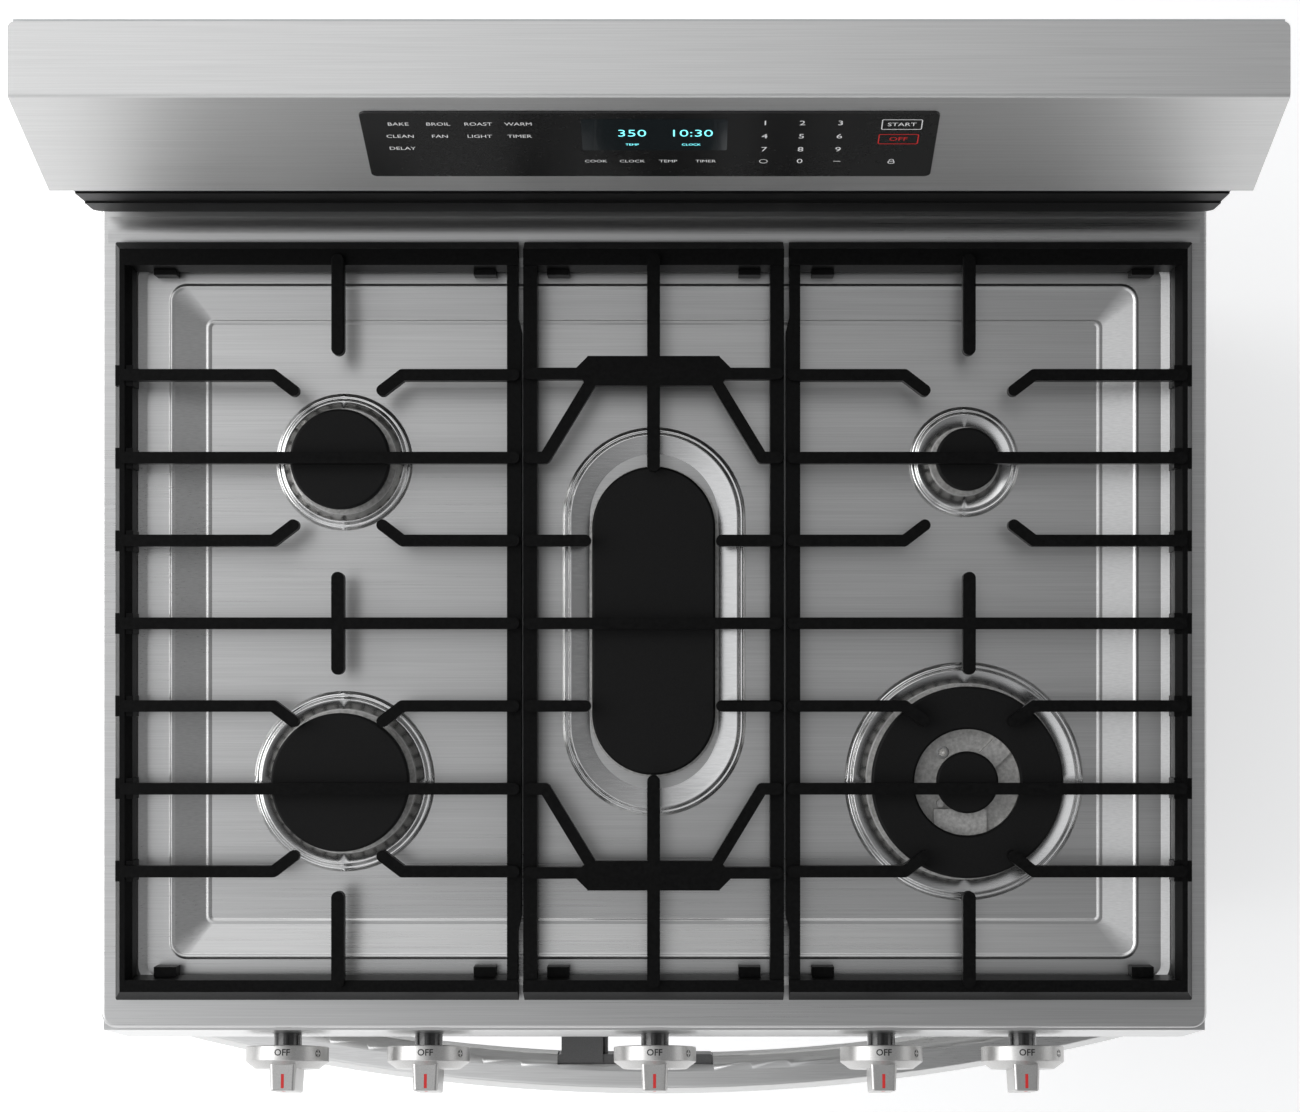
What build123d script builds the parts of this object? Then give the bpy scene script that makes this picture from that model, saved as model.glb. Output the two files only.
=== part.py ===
from build123d import *
from math import asin, cos, degrees, hypot, pi, radians, sin
import os

# Freestanding gas range, millimetres. X to the right, Y to the back, Z up.
# The origin lies on the floor under the middle of the range.

# ---------------------------------------------------------------- driving dimensions
width = 757.0  # cooktop, control panel and backguard
half_width = width / 2
cooktop_z = 914.0
overall_height = 1193.0
back_y = 349.65  # rearmost face
handle_front_y = -349.65  # foremost face
sheet = 1.5

pan_front_y = -278.2
pan_rear_y = 291.5
pan_skirt = 8.5
skirt_z = cooktop_z - pan_skirt
channel_z = cooktop_z - 1.5
floor_z = cooktop_z - 6.0
plateau_z = floor_z + 3.5

burner_x = 212.5
burner_y = 109.5
head_top_z = 930.0
cap_height = 6.0
cap_z = head_top_z + cap_height
round_burners = {
    "left_rear": ((-burner_x, burner_y), 34.0, 47.0),
    "left_front": ((-burner_x, -burner_y), 47.0, 62.0),
    "right_rear": ((burner_x, burner_y), 21.3, 38.0),
}  # centre, cap radius, radius of the raised boss
double_burner = (burner_x, -burner_y)
double_cap_radius = 65.0
double_cap_hole = 36.0
double_inner_cap = 21.0
double_boss_radius = 82.0
oval_cap = (209.0, 83.5)
oval_boss = (267.0, 125.7)

grate_mid_y = -2.0  # middle of the burners' bars
grate_half_y = 257.75  # end of the grates, to the rear and to the front
grate_top_z = cooktop_z + 35.0
grate_bar_z = grate_top_z - 10.0
grate_low_z = 922.0  # underside of the outer rails
grate_rail_z = 945.0  # their ridge
grate_pitch = 55.7
bar_width = 7.8
long_bar_width = 8.6  # bars that run from front to rear
grate_edge_x = 365.5
grate_split_x = 88.75
grate_gap = 1.5

panel_tilt = 9.38
panel_top = (-280.6, 905.0)
panel_bottom = (-295.8, 814.0)
frame_front_y = -249.0
frame_back_y = -246.5
knob_x = {
    "left_outer": -259.0,
    "left_inner": -159.5,
    "middle": 0.0,
    "right_inner": 159.5,
    "right_outer": 259.0,
}
knob_face = (-289.7, 851.0)  # where a knob's axis leaves the panel: y, z

door_front_y = -287.0
door_rear_y = -252.0
door_join_y = -258.0
door_bottom_z = 222.0
door_inner_bottom_z = 224.5  # its rear corner swings past the gasket
door_top_z = 806.0
door_half = 376.0
hinge_y = -270.0
hinge_z = 228.0
hinge_lugs_x = 340.0

handle_radius = 1459.0
handle_depth = 29.0
handle_top_z = 734.0
handle_half = 364.5

drawer_join_y = -272.0
drawer_bottom_z = 60.0
drawer_top_z = 208.0

side_outer_x = 377.0
side_inner_x = side_outer_x - sheet
body_rear_y = 345.0

cavity_half = 308.0
cavity_bottom_z = 235.0
cavity_top_z = 780.0
cavity_rear_y = 243.5
fan_z = 507.0
ledge_tops = [332.0, 412.0, 492.0, 572.0, 652.0]
lamp_spot = (-215.0, 700.0)  # x, z on the rear wall

os.makedirs("parts", exist_ok=True)


# ---------------------------------------------------------------- shared operations
def finish(builder, label):
    """Label a finished piece and write it."""
    builder.part.label = label
    export_step(builder.part, f"parts/{label}.step")


def block(x, y, z, mode=Mode.ADD):
    """Box between a low and a high limit on each axis."""
    middle = ((x[0] + x[1]) / 2, (y[0] + y[1]) / 2, (z[0] + z[1]) / 2)
    with Locations(middle):
        Box(x[1] - x[0], y[1] - y[0], z[1] - z[0], mode=mode)


def both_sides(x, y, z, mode=Mode.ADD):
    """The same box on the right and, mirrored, on the left."""
    block(x, y, z, mode)
    block((-x[1], -x[0]), y, z, mode)


def drawn(plane, points):
    """Closed outline on a plane, as a sketch."""
    with BuildSketch(plane) as drawing:
        Polygon(*points, align=None)
    return drawing.sketch


def prism_x(profile, low, high, mode=Mode.ADD):
    """Profile of (y, z) points carried from one x to another."""
    extrude(drawn(Plane.YZ.offset(low), profile), amount=high - low, dir=(1, 0, 0), mode=mode)


def prism_y(profile, low, high, mode=Mode.ADD):
    """Profile of (x, z) points carried from one y to another."""
    extrude(drawn(Plane.XZ.offset(-low), profile), amount=high - low, dir=(0, 1, 0), mode=mode)


def hollow_x(profile, low, high, end_wall):
    """Space inside a sheet profile of (y, z) points, cut between two end walls."""
    with BuildSketch(Plane.YZ.offset(low + end_wall)) as space:
        Polygon(*profile, align=None)
        offset(amount=-sheet, kind=Kind.INTERSECTION, mode=Mode.REPLACE)
    extrude(space.sketch, amount=high - low - 2 * end_wall, dir=(1, 0, 0), mode=Mode.SUBTRACT)


def turned(base, profile, mode=Mode.ADD):
    """Profile of (radius, height) points turned about the normal of a plane."""
    section = Plane(origin=base.origin, x_dir=base.x_dir, z_dir=-base.y_dir)
    revolve(drawn(section, profile), axis=Axis(base.origin, base.z_dir), mode=mode)


def disc(base, radius, low, high, mode=Mode.ADD, inner=0.0):
    """Plain cylinder or ring about the normal of a plane, between two heights."""
    turned(base, [(inner, low), (radius, low), (radius, high), (inner, high)], mode)


def upright(x, y, z=0.0):
    """Plane with its normal up, at a point."""
    return Plane(origin=(x, y, z), x_dir=(1, 0, 0), z_dir=(0, 0, 1))


def rearward(x, z, y=0.0):
    """Plane with its normal to the back, at a point."""
    return Plane(origin=(x, y, z), x_dir=(1, 0, 0), z_dir=(0, 1, 0))


def rod(start, end, radius, mode=Mode.ADD):
    """Round rod between two points."""
    start, end = Vector(*start), Vector(*end)
    with Locations(Plane(origin=start, z_dir=end - start)):
        Cylinder(radius, (end - start).length, align=(Align.CENTER, Align.CENTER, Align.MIN), mode=mode)


def pipe(route, bend, radius):
    """Round tube along straight runs joined by bends."""
    with BuildLine() as path:
        line = FilletPolyline(*route, radius=bend)
    with BuildSketch(Plane(origin=line @ 0, z_dir=line % 0)) as section:
        Circle(radius)
    sweep(section.sketch, path=path.wires()[0])


def lofted(low_z, high_z, low_shape, high_shape, mode=Mode.ADD):
    """Solid between two flat shapes, each drawn by its own function at its height."""
    sections = []
    for z, shape in ((low_z, low_shape), (high_z, high_shape)):
        with BuildSketch(Plane.XY.offset(z)) as section:
            shape()
        sections.append(section.sketch)
    loft(sections, mode=mode)


def tray(top_z, top_size, top_corner, bottom_z, bottom_size, bottom_corner, mode=Mode.ADD):
    """Rounded rectangle lofted to another below it, as in a pressed step."""
    def bottom():
        RectangleRounded(*bottom_size, bottom_corner)

    def top():
        RectangleRounded(*top_size, top_corner)

    lofted(bottom_z, top_z, bottom, top, mode)


def slot_band(low_z, low_size, high_z, high_size, mode=Mode.ADD):
    """Long round-ended shape lofted between two heights, its length along Y."""
    def low():
        SlotOverall(*low_size, rotation=90)

    def high():
        SlotOverall(*high_size, rotation=90)

    lofted(low_z, high_z, low, high, mode)


# ---------------------------------------------------------------- cooktop pan
# Foot, first shoulder, ledge, second shoulder and plateau of the raised boss round each burner:
# distance in from the foot, height above the pan's floor.
boss_steps = [(0.0, 0.0), (1.2, 1.4), (3.6, 1.9), (5.0, 3.5)]

with BuildPart() as cooktop_pan:
    with BuildSketch(Plane.XY.offset(skirt_z)) as pan_plan:
        with Locations((0, (pan_front_y + pan_rear_y) / 2)):
            Rectangle(width, pan_rear_y - pan_front_y)
        fillet(pan_plan.vertices().group_by(Axis.Y)[0], radius=10)
    extrude(amount=pan_skirt)
    fillet(cooktop_pan.faces().sort_by(Axis.Z)[-1].edges(), radius=2.4)
    # hollow underside of the raised rim, round the deeper middle
    rim_inside = (width - 2 * sheet, pan_rear_y - pan_front_y - 2 * sheet)
    with BuildSketch(Plane.XY.offset(skirt_z)):
        with Locations((0, (pan_front_y + pan_rear_y) / 2)):
            RectangleRounded(*rim_inside, 8.5)
        RectangleRounded(664, 462, 12, mode=Mode.SUBTRACT)
    extrude(amount=pan_skirt - 3.2, mode=Mode.SUBTRACT)
    tray(cooktop_z, (706, 498), 14, channel_z, (694, 486), 8, Mode.SUBTRACT)
    tray(channel_z, (660, 458.5), 10, floor_z, (611, 411), 4, Mode.SUBTRACT)
    # low roll along the rear of the rim
    with BuildSketch(Plane.YZ.offset(5 - half_width)):
        with BuildLine():
            ThreePointArc((259, cooktop_z), (268, cooktop_z + 1.3), (277, cooktop_z))
            Line((277, cooktop_z), (259, cooktop_z))
        make_face()
    extrude(amount=width - 10)
    for (x, y), cap, boss in round_burners.values():
        profile = [(boss - inset, floor_z + rise) for inset, rise in boss_steps]
        turned(upright(x, y), [(0, floor_z)] + profile + [(0, plateau_z)])
        disc(upright(x, y), 0.35 * cap + 3.4, skirt_z, plateau_z, Mode.SUBTRACT)
    x, y = double_burner
    profile = [(double_boss_radius - inset, floor_z + rise) for inset, rise in boss_steps]
    turned(upright(x, y), [(0, floor_z)] + profile + [(0, plateau_z)])
    disc(upright(x, y), 10.8, skirt_z, plateau_z, Mode.SUBTRACT)
    disc(upright(x, y - 48), 9.4, skirt_z, plateau_z, Mode.SUBTRACT)
    for (inset, rise), (next_inset, next_rise) in zip(boss_steps, boss_steps[1:]):
        low = [side - 2 * inset for side in oval_boss]
        high = [side - 2 * next_inset for side in oval_boss]
        slot_band(floor_z + rise, low, floor_z + next_rise, high)
    disc(upright(0, 0), 13.4, skirt_z, plateau_z, Mode.SUBTRACT)
finish(cooktop_pan, "cooktop_pan")

# ---------------------------------------------------------------- burner heads and caps
flange_z = plateau_z + 2.0
pocket_z = 918.0
port_low_z = 923.5
throat_z = 888.0
port_width = 1.8


def ports(x, y, radius, count, start=0.0, span=360.0):
    """Radial flame ports cut through a burner wall."""
    with BuildSketch(Plane.XY.offset(port_low_z)) as slits:
        with Locations((x, y)):
            with PolarLocations(radius, count, start_angle=start, angular_range=span, endpoint=span < 360):
                Rectangle(14, port_width)
    extrude(slits.sketch, amount=head_top_z - port_low_z, mode=Mode.SUBTRACT)


with BuildPart() as burner_heads:
    for (x, y), cap, boss in round_burners.values():
        bore = 0.35 * cap
        turned(upright(x, y), [
            (bore, throat_z), (bore + 3, throat_z), (bore + 3, plateau_z), (cap + 2, plateau_z),
            (cap + 2, flange_z), (cap - 5, flange_z), (cap - 5, 926), (cap - 2, 928),
            (cap - 2, head_top_z), (cap - 9, head_top_z), (cap - 9, pocket_z), (bore, pocket_z),
        ])
        ports(x, y, cap - 5, round(2 * pi * cap / 8))
    # double burner: outer ring and small middle ring on one casting, open between them
    x, y = double_burner
    turned(upright(x, y), [
        (7.4, throat_z), (10.4, throat_z), (10.4, plateau_z), (double_cap_radius + 2, plateau_z),
        (double_cap_radius + 2, flange_z), (60, flange_z), (60, 926), (63, 928), (63, head_top_z),
        (56, head_top_z), (56, pocket_z), (41, pocket_z), (41, head_top_z), (37, head_top_z),
        (37, pocket_z), (19, pocket_z), (19, head_top_z), (14, head_top_z), (14, pocket_z), (7.4, pocket_z),
    ])
    block((x - 22, x + 14), (y - 38, y - 18.5), (pocket_z, 924))
    with BuildSketch(Plane.XY.offset(pocket_z)):
        with Locations(Location((x + 20, y + 20, 0), (0, 0, 45))):
            Rectangle(20, 15)
    extrude(amount=5)
    disc(upright(x, y - 48), 9, throat_z, plateau_z)
    disc(upright(x, y - 48), 6, throat_z, pocket_z, Mode.SUBTRACT)
    disc(upright(x - 15.5, y + 20), 4.5, plateau_z, 925, Mode.SUBTRACT)
    disc(upright(x - 17.5, y - 14.5), 2.6, pocket_z, 925.5)
    ports(x, y, 59, 48)
    ports(x, y, 17, 14)
    # long oval burner
    slot_band(plateau_z, (213, 87.5), flange_z, (213, 87.5))
    slot_band(flange_z, (199, 73.5), 926, (199, 73.5))
    slot_band(926, (199, 73.5), head_top_z, (205, 79.5))
    slot_band(pocket_z, (191, 65.5), head_top_z, (191, 65.5), Mode.SUBTRACT)
    disc(upright(0, 0), 13, throat_z, plateau_z)
    disc(upright(0, 0), 10, throat_z, pocket_z, Mode.SUBTRACT)
    with BuildSketch(Plane.XY.offset(port_low_z)):
        with GridLocations(75, 8, 2, 15):
            Rectangle(14, port_width)
    extrude(amount=head_top_z - port_low_z, mode=Mode.SUBTRACT)
    ports(0, 62.75, 37, 11, 15, 150)
    ports(0, -62.75, 37, 11, 195, 150)
finish(burner_heads, "burner_heads")


def cap_profile(radius):
    """Flat cap with an eased top edge and a locating ring under it."""
    return [
        (0, head_top_z), (radius - 12, head_top_z), (radius - 12, 926.5), (radius - 10, 926.5),
        (radius - 10, head_top_z), (radius, head_top_z), (radius, cap_z - 1.6), (radius - 0.5, cap_z - 0.5),
        (radius - 1.6, cap_z), (0, cap_z),
    ]


for place, ((x, y), cap, boss) in round_burners.items():
    with BuildPart() as round_cap:
        turned(upright(x, y), cap_profile(cap))
    finish(round_cap, f"burner_cap_{place}")

with BuildPart() as inner_cap:
    turned(upright(*double_burner), [
        (0, 926.5), (12.5, 926.5), (12.5, head_top_z), (double_inner_cap, head_top_z),
        (double_inner_cap, cap_z - 1.4), (double_inner_cap - 1.4, cap_z), (0, cap_z),
    ])
finish(inner_cap, "burner_cap_right_front_inner")

with BuildPart() as ring_cap:
    turned(upright(*double_burner), [
        (double_cap_hole, head_top_z), (43, head_top_z), (43, 926.5), (45, 926.5), (45, head_top_z),
        (double_cap_radius, head_top_z), (double_cap_radius, cap_z - 1.6),
        (double_cap_radius - 0.5, cap_z - 0.5), (double_cap_radius - 1.6, cap_z),
        (double_cap_hole + 1.4, cap_z), (double_cap_hole, cap_z - 1.4),
    ])
finish(ring_cap, "burner_cap_right_front_ring")

with BuildPart() as oval_burner_cap:
    slot_band(head_top_z, oval_cap, cap_z - 1.6, oval_cap)
    slot_band(cap_z - 1.6, oval_cap, cap_z, [side - 3.2 for side in oval_cap])
    slot_band(926.5, (189, 63.5), head_top_z, (189, 63.5))
    slot_band(926.5, (185, 59.5), head_top_z, (185, 59.5), Mode.SUBTRACT)
finish(oval_burner_cap, "burner_cap_center")

small_pin = [(0, flange_z), (1.5, flange_z), (1.5, 922), (0.6, 925), (0, 925)]
large_pin = [(0, plateau_z), (2.6, plateau_z), (2.6, 921), (0.8, 923), (0.8, 926), (0, 926)]

with BuildPart() as ignition_electrodes:
    for (x, y), cap, boss in round_burners.values():
        reach = (cap - 3.0) * sin(radians(45))
        turned(upright(x - reach, y + reach), small_pin)
    x, y = double_burner
    turned(upright(x - 15.5, y + 20), large_pin)
    turned(upright(-39.0, 0), small_pin)
finish(ignition_electrodes, "ignition_electrodes")


# ---------------------------------------------------------------- grates
def bar(start, end, thickness=bar_width):
    """Round-ended bar of the plan between two points."""
    middle = ((start[0] + end[0]) / 2, (start[1] + end[1]) / 2)
    SlotCenterPoint(middle, end, thickness)


def grate_feet(low, high):
    """Four feet under the corners, standing in the pan's channel."""
    for x in (low + 33.5, high - 23.0):
        for y in (238.9, -238.9):
            block((x - 7.5, x + 7.5), (y - 3.9, y + 3.9), (channel_z, 930))


ridge_y = 250.5  # outer edge of the end bars' flat ridge
finger_root_y = 243.0  # end of the fingers, within the end bars


def end_bars(low, high):
    """Sloped rear and front bars that carry the fingers."""
    for side, inner in ((1, 238.0), (-1, 241.0)):
        prism_x([
            (side * inner, grate_low_z), (side * (inner + 1.5), grate_rail_z), (side * ridge_y, grate_rail_z),
            (side * grate_half_y, 926), (side * grate_half_y, grate_low_z),
        ], low, high)


def sloped_ends(low, high):
    """Cuts whatever stands above the outer slope of the end bars, so that rails meet them cleanly."""
    beyond = grate_half_y + 1
    section = [
        (ridge_y, grate_rail_z), (grate_half_y, 926), (beyond, 926), (beyond, grate_top_z),
        (ridge_y, grate_top_z),
    ]
    for side in (1, -1):
        prism_x([(side * y, z) for y, z in section], low - 1, high + 1, Mode.SUBTRACT)


def outer_rail(side):
    """Ridged rail along a side grate's outer edge, mitred into the end bars at both corners."""
    edge = side * grate_edge_x
    section = [
        (0, grate_low_z), (0, 930), (5.5, grate_rail_z), (9, grate_rail_z), (13, 938), (13, grate_low_z),
    ]
    prism_y([(edge - side * x, z) for x, z in section], -grate_half_y, grate_half_y)
    for step in range(-3, 4):
        y = grate_mid_y + step * grate_pitch
        root_x = sorted((edge - side * 2.5, edge - side * 14.5))
        block(root_x, (y - 7, y + 7), (grate_low_z, grate_rail_z - 1))
    slope = [(-1, 930), (0, 930), (5.5, grate_rail_z), (5.5, grate_rail_z + 1), (-1, grate_rail_z + 1)]
    mitre = [(edge - side * x, z) for x, z in slope]
    for low, high in ((-grate_half_y - 1, -225), (225, grate_half_y + 1)):
        prism_y(mitre, low, high, Mode.SUBTRACT)


def inner_rail(edge, inward):
    """Straight rail beside the next grate, drawn in a little at both ends."""
    deep = edge + inward * 9.4
    end = edge + inward * 2.4
    plan = drawn(Plane.XY.offset(924), [
        (end, -grate_half_y), (end, -210), (edge, -200), (edge, 196), (end, 206),
        (end, grate_half_y), (deep, grate_half_y), (deep, -grate_half_y),
    ])
    extrude(plan, amount=19, dir=(0, 0, 1))


def side_grate(side, label):
    """Grate over two round burners; side is -1 on the left and 1 on the right."""
    outer = side * (grate_edge_x - 10)
    inner = side * (grate_split_x + grate_gap / 2 + 4.7)
    middle = side * burner_x
    span = sorted((side * grate_edge_x, side * (grate_split_x + grate_gap / 2 + 2.4)))
    with BuildPart() as grate:
        with BuildSketch(Plane.XY.offset(grate_bar_z)):
            for step in (-2, 0, 2):
                y = grate_mid_y + step * grate_pitch
                bar((outer, y), (inner, y))
            for step, towards in ((3, -1), (1, 1), (-1, -1), (-3, 1)):
                y = grate_mid_y + step * grate_pitch
                tip_y = y + towards * 10.3
                for edge, way in ((min(outer, inner), -1), (max(outer, inner), 1)):
                    bar((edge, y), (middle + way * 43.5, y))
                    bar((middle + way * 43.5, y), (middle + way * 30, tip_y))
            bar((middle, finger_root_y), (middle, grate_mid_y + 184.8), long_bar_width)
            bar((middle, grate_mid_y + 30.3), (middle, grate_mid_y - 30.3), long_bar_width)
            bar((middle, -finger_root_y), (middle, grate_mid_y - 184.8), long_bar_width)
        extrude(amount=grate_top_z - grate_bar_z)
        chamfer(grate.faces().sort_by(Axis.Z)[-1].edges(), 0.8)
        end_bars(*span)
        outer_rail(side)
        inner_rail(side * (grate_split_x + grate_gap / 2), side)
        sloped_ends(*span)
        grate_feet(*(span if side < 0 else (span[0] - 10.5, span[1] - 10.5)))
    finish(grate, label)


side_grate(-1, "grate_left")
side_grate(1, "grate_right")

with BuildPart() as grate_center:
    rail_x = grate_split_x - grate_gap / 2 - 4.7
    with BuildSketch(Plane.XY.offset(grate_bar_z)):
        bar((-rail_x, grate_mid_y), (rail_x, grate_mid_y))
        for side in (1, -1):
            bridge_y = grate_mid_y + side * 169.8
            with Locations((0, bridge_y)):
                Rectangle(89, 20)
            for way in (1, -1):
                level = grate_mid_y + side * grate_pitch
                bar((way * rail_x, level), (way * 46, level))
                bar((way * rail_x, grate_mid_y + side * 111.5), (way * 73, grate_mid_y + side * 111.5))
                bar((way * 73, grate_mid_y + side * 111.5), (way * 40, grate_mid_y + side * 166))
                bar((way * rail_x, grate_mid_y + side * 168), (way * 40, grate_mid_y + side * 168))
                Polygon(
                    (way * 44, bridge_y + side * 10), (way * 52, bridge_y + side * 2),
                    (way * 52, bridge_y - side * 2), (way * 44, bridge_y - side * 10),
                    align=None,
                )
            bar((0, side * finger_root_y), (0, grate_mid_y + side * 106.5), long_bar_width)
    extrude(amount=grate_top_z - grate_bar_z)
    chamfer(grate_center.faces().sort_by(Axis.Z)[-1].edges(), 0.8)
    edge_x = grate_split_x - grate_gap / 2
    end_bars(-edge_x, edge_x)
    with BuildSketch(Plane.XY.offset(924)):
        with Locations((edge_x - 4.7, 0), (4.7 - edge_x, 0)):
            Rectangle(9.4, 2 * grate_half_y)
    extrude(amount=19)
    sloped_ends(-edge_x, edge_x)
    grate_feet(-edge_x - 10.5, edge_x)
finish(grate_center, "grate_center")

# ---------------------------------------------------------------- control panel, stems and knobs
outward = Vector(0, -cos(radians(panel_tilt)), sin(radians(panel_tilt)))


def knob_plane(x):
    """Plane on the control panel with its normal along a knob's axis."""
    return Plane(origin=(x, *knob_face), x_dir=(1, 0, 0), z_dir=outward)


with BuildPart() as control_panel:
    profile = [panel_top, panel_bottom, (frame_front_y, panel_bottom[1]), (frame_front_y, panel_top[1])]
    prism_x(profile, -half_width, half_width)
    hollow_x(profile, -half_width, half_width, sheet)
    inner = half_width - sheet
    open_rear = (panel_bottom[1] + sheet, panel_top[1] - sheet)
    block((-inner, inner), (frame_front_y - 3, frame_front_y), open_rear, Mode.SUBTRACT)
    for x in knob_x.values():
        disc(knob_plane(x), 10.2, -12, 12, Mode.SUBTRACT)
finish(control_panel, "control_panel")

collar_radius = 9.8
shaft_radius = 3.95
knob_back = 9.0
knob_radius = 29.0

for place, x in knob_x.items():
    with BuildPart() as stem:
        turned(knob_plane(x), [
            (0, -52), (shaft_radius, -52), (shaft_radius, -10), (collar_radius, -10),
            (collar_radius, knob_back + 0.8), (shaft_radius, knob_back + 0.8), (shaft_radius, 27), (0, 27),
        ])
        # flat that carries the knob round
        flat = knob_plane(x).offset(knob_back + 0.8)
        with BuildSketch(flat):
            with Locations((0, -shaft_radius)):
                Rectangle(9, 2.4)
        extrude(amount=20, mode=Mode.SUBTRACT)
    finish(stem, f"valve_stem_{place}")

    with BuildPart() as knob:
        turned(knob_plane(x), [
            (0, knob_back), (knob_radius - 0.6, knob_back), (knob_radius, knob_back + 0.6),
            (knob_radius, knob_back + 10.3), (knob_radius - 0.4, knob_back + 10.8),
            (22.4, knob_back + 15.4), (0, knob_back + 15.4),
        ])
        grip_base = knob_plane(x).offset(knob_back + 10.5)
        with BuildSketch(grip_base):
            RectangleRounded(18.8, 49.5, 2.2)
        with BuildSketch(grip_base.offset(21.0)):
            RectangleRounded(17.0, 47.5, 2.2)
        loft()
        front = knob.faces().filter_by(lambda face: abs(face.normal_at().dot(outward)) > 0.999)
        tip = front.sort_by(Axis((0, 0, 0), tuple(outward)))[-1]
        fillet(tip.edges(), radius=1.2)
        disc(knob_plane(x), collar_radius + 0.4, knob_back - 1, knob_back + 5, Mode.SUBTRACT)
        with BuildSketch(knob_plane(x).offset(knob_back + 4)):
            Circle(shaft_radius + 0.06)
            with Locations((0, -shaft_radius)):
                Rectangle(9, 2.28, mode=Mode.SUBTRACT)
        extrude(amount=18, mode=Mode.SUBTRACT)
    finish(knob, f"knob_{place}")

# ---------------------------------------------------------------- gas manifold and tubes
manifold_y = knob_face[0] + 68 * cos(radians(panel_tilt))
manifold_z = knob_face[1] - 68 * sin(radians(panel_tilt))

with BuildPart() as gas_manifold:
    rod((-330, manifold_y, manifold_z), (330, manifold_y, manifold_z), 9)
    for x in knob_x.values():
        disc(knob_plane(x), 13, -76, -28)
        block((x - 6, x + 6), (manifold_y + 1, manifold_y + 13), (manifold_z, manifold_z + 20))
    for x in knob_x.values():
        disc(knob_plane(x), shaft_radius + 0.06, -56, -27, Mode.SUBTRACT)
finish(gas_manifold, "gas_manifold")

tube_radius = 3.5
tube_ends = {
    "left_outer": (-burner_x, -burner_y),
    "left_inner": (-burner_x, burner_y),
    "middle": (0.0, 0.0),
    "right_inner": (burner_x, burner_y),
    "right_outer": (burner_x, -burner_y),
}

with BuildPart() as burner_tubes:
    for place, (x, y) in tube_ends.items():
        start_x, start_y = knob_x[place], manifold_y + 7
        level = 874 if place.endswith("inner") else 868
        route = [(start_x, start_y, manifold_z + 20), (start_x, start_y, level)]
        if start_x != x:
            route += [(start_x, y - 50, level), (x, y - 50, level)]
        route += [(x, y, level), (x, y, throat_z - 6)]
        pipe(route, 5.0, tube_radius)
        disc(upright(x, y), 6.5, throat_z - 6, throat_z - 2)
    supply = [(260, 312, 186), (260, 312, 215), (347, 312, 215), (347, 312, manifold_z),
              (347, manifold_y, manifold_z), (330, manifold_y, manifold_z)]
    pipe(supply, 14.0, 6.0)
finish(burner_tubes, "burner_tubes")

# ---------------------------------------------------------------- body: sides, rear, base, feet
base_low_z = 30.0
base_high_z = 58.0

for side, label in ((-1, "side_panel_left"), (1, "side_panel_right")):
    with BuildPart() as side_panel:
        sheet_x = sorted((side * side_inner_x, side * side_outer_x))
        front_flange_x = sorted((side * 355, side * side_inner_x))
        rear_flange_x = sorted((side * 360, side * side_inner_x))
        block(sheet_x, (frame_back_y, body_rear_y), (base_low_z, skirt_z))
        block(front_flange_x, (frame_back_y, frame_back_y + sheet), (base_high_z + 2, 812))
        block(rear_flange_x, (body_rear_y - 3, body_rear_y - sheet), (base_high_z + 2, skirt_z))
    finish(side_panel, label)

with BuildPart() as rear_panel:
    block((-side_inner_x, side_inner_x), (body_rear_y - sheet, body_rear_y), (240, skirt_z))
    with BuildSketch(Plane.XZ.offset(-body_rear_y)):
        for z in (300, 640, 700):
            with Locations((0, z)):
                with GridLocations(60, 16, 7, 3):
                    SlotOverall(44, 6)
    extrude(amount=sheet, mode=Mode.SUBTRACT)
    # collar of the opening for the power cord
    disc(rearward(-250, 300), 13, body_rear_y - sheet, body_rear_y + 3)
    disc(rearward(-250, 300), 8, body_rear_y - 4, body_rear_y + 4, Mode.SUBTRACT)
finish(rear_panel, "rear_panel")

foot_x, foot_front_y, foot_rear_y = 340.0, -228.0, 322.0

with BuildPart() as base_frame:
    both_sides((325, side_inner_x), (-243, 340), (base_low_z, base_low_z + 2))
    both_sides((side_inner_x - 2, side_inner_x), (-243, 340), (base_low_z + 2, base_high_z))
    both_sides((325, 327), (-243, 340), (base_low_z + 2, base_high_z))
    block((-325, 325), (-243, -213), (base_low_z, base_low_z + 2))
    block((-325, 325), (-243, -241), (base_low_z + 2, base_high_z))
    block((-325, 325), (305, 340), (base_low_z, base_low_z + 2))
    block((-325, 325), (338, 340), (base_low_z + 2, base_high_z))
    for x in (-foot_x, foot_x):
        for y in (foot_front_y, foot_rear_y):
            disc(upright(x, y), 5.3, base_low_z - 1, base_low_z + 3, Mode.SUBTRACT)
finish(base_frame, "base_frame")

with BuildPart() as leveling_feet:
    for x in (-foot_x, foot_x):
        for y in (foot_front_y, foot_rear_y):
            turned(upright(x, y), [
                (0, 0), (19, 0), (20, 1), (20, 6), (12, 10), (10, 10), (10, base_low_z),
                (5, base_low_z), (5, 52), (0, 52),
            ])
finish(leveling_feet, "leveling_feet")

with BuildPart() as panel_screws:
    for x in (-368, 368):
        for z in (262, 420, 580, 740, 890):
            turned(rearward(x, z), [
                (0, body_rear_y), (4, body_rear_y), (4, body_rear_y + 1.2),
                (2.6, body_rear_y + 2.2), (0, body_rear_y + 2.2),
            ])
finish(panel_screws, "panel_screws")

# ---------------------------------------------------------------- oven cavity and what it holds
cavity_out = cavity_half + sheet
cavity_back_y = cavity_rear_y + sheet

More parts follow.
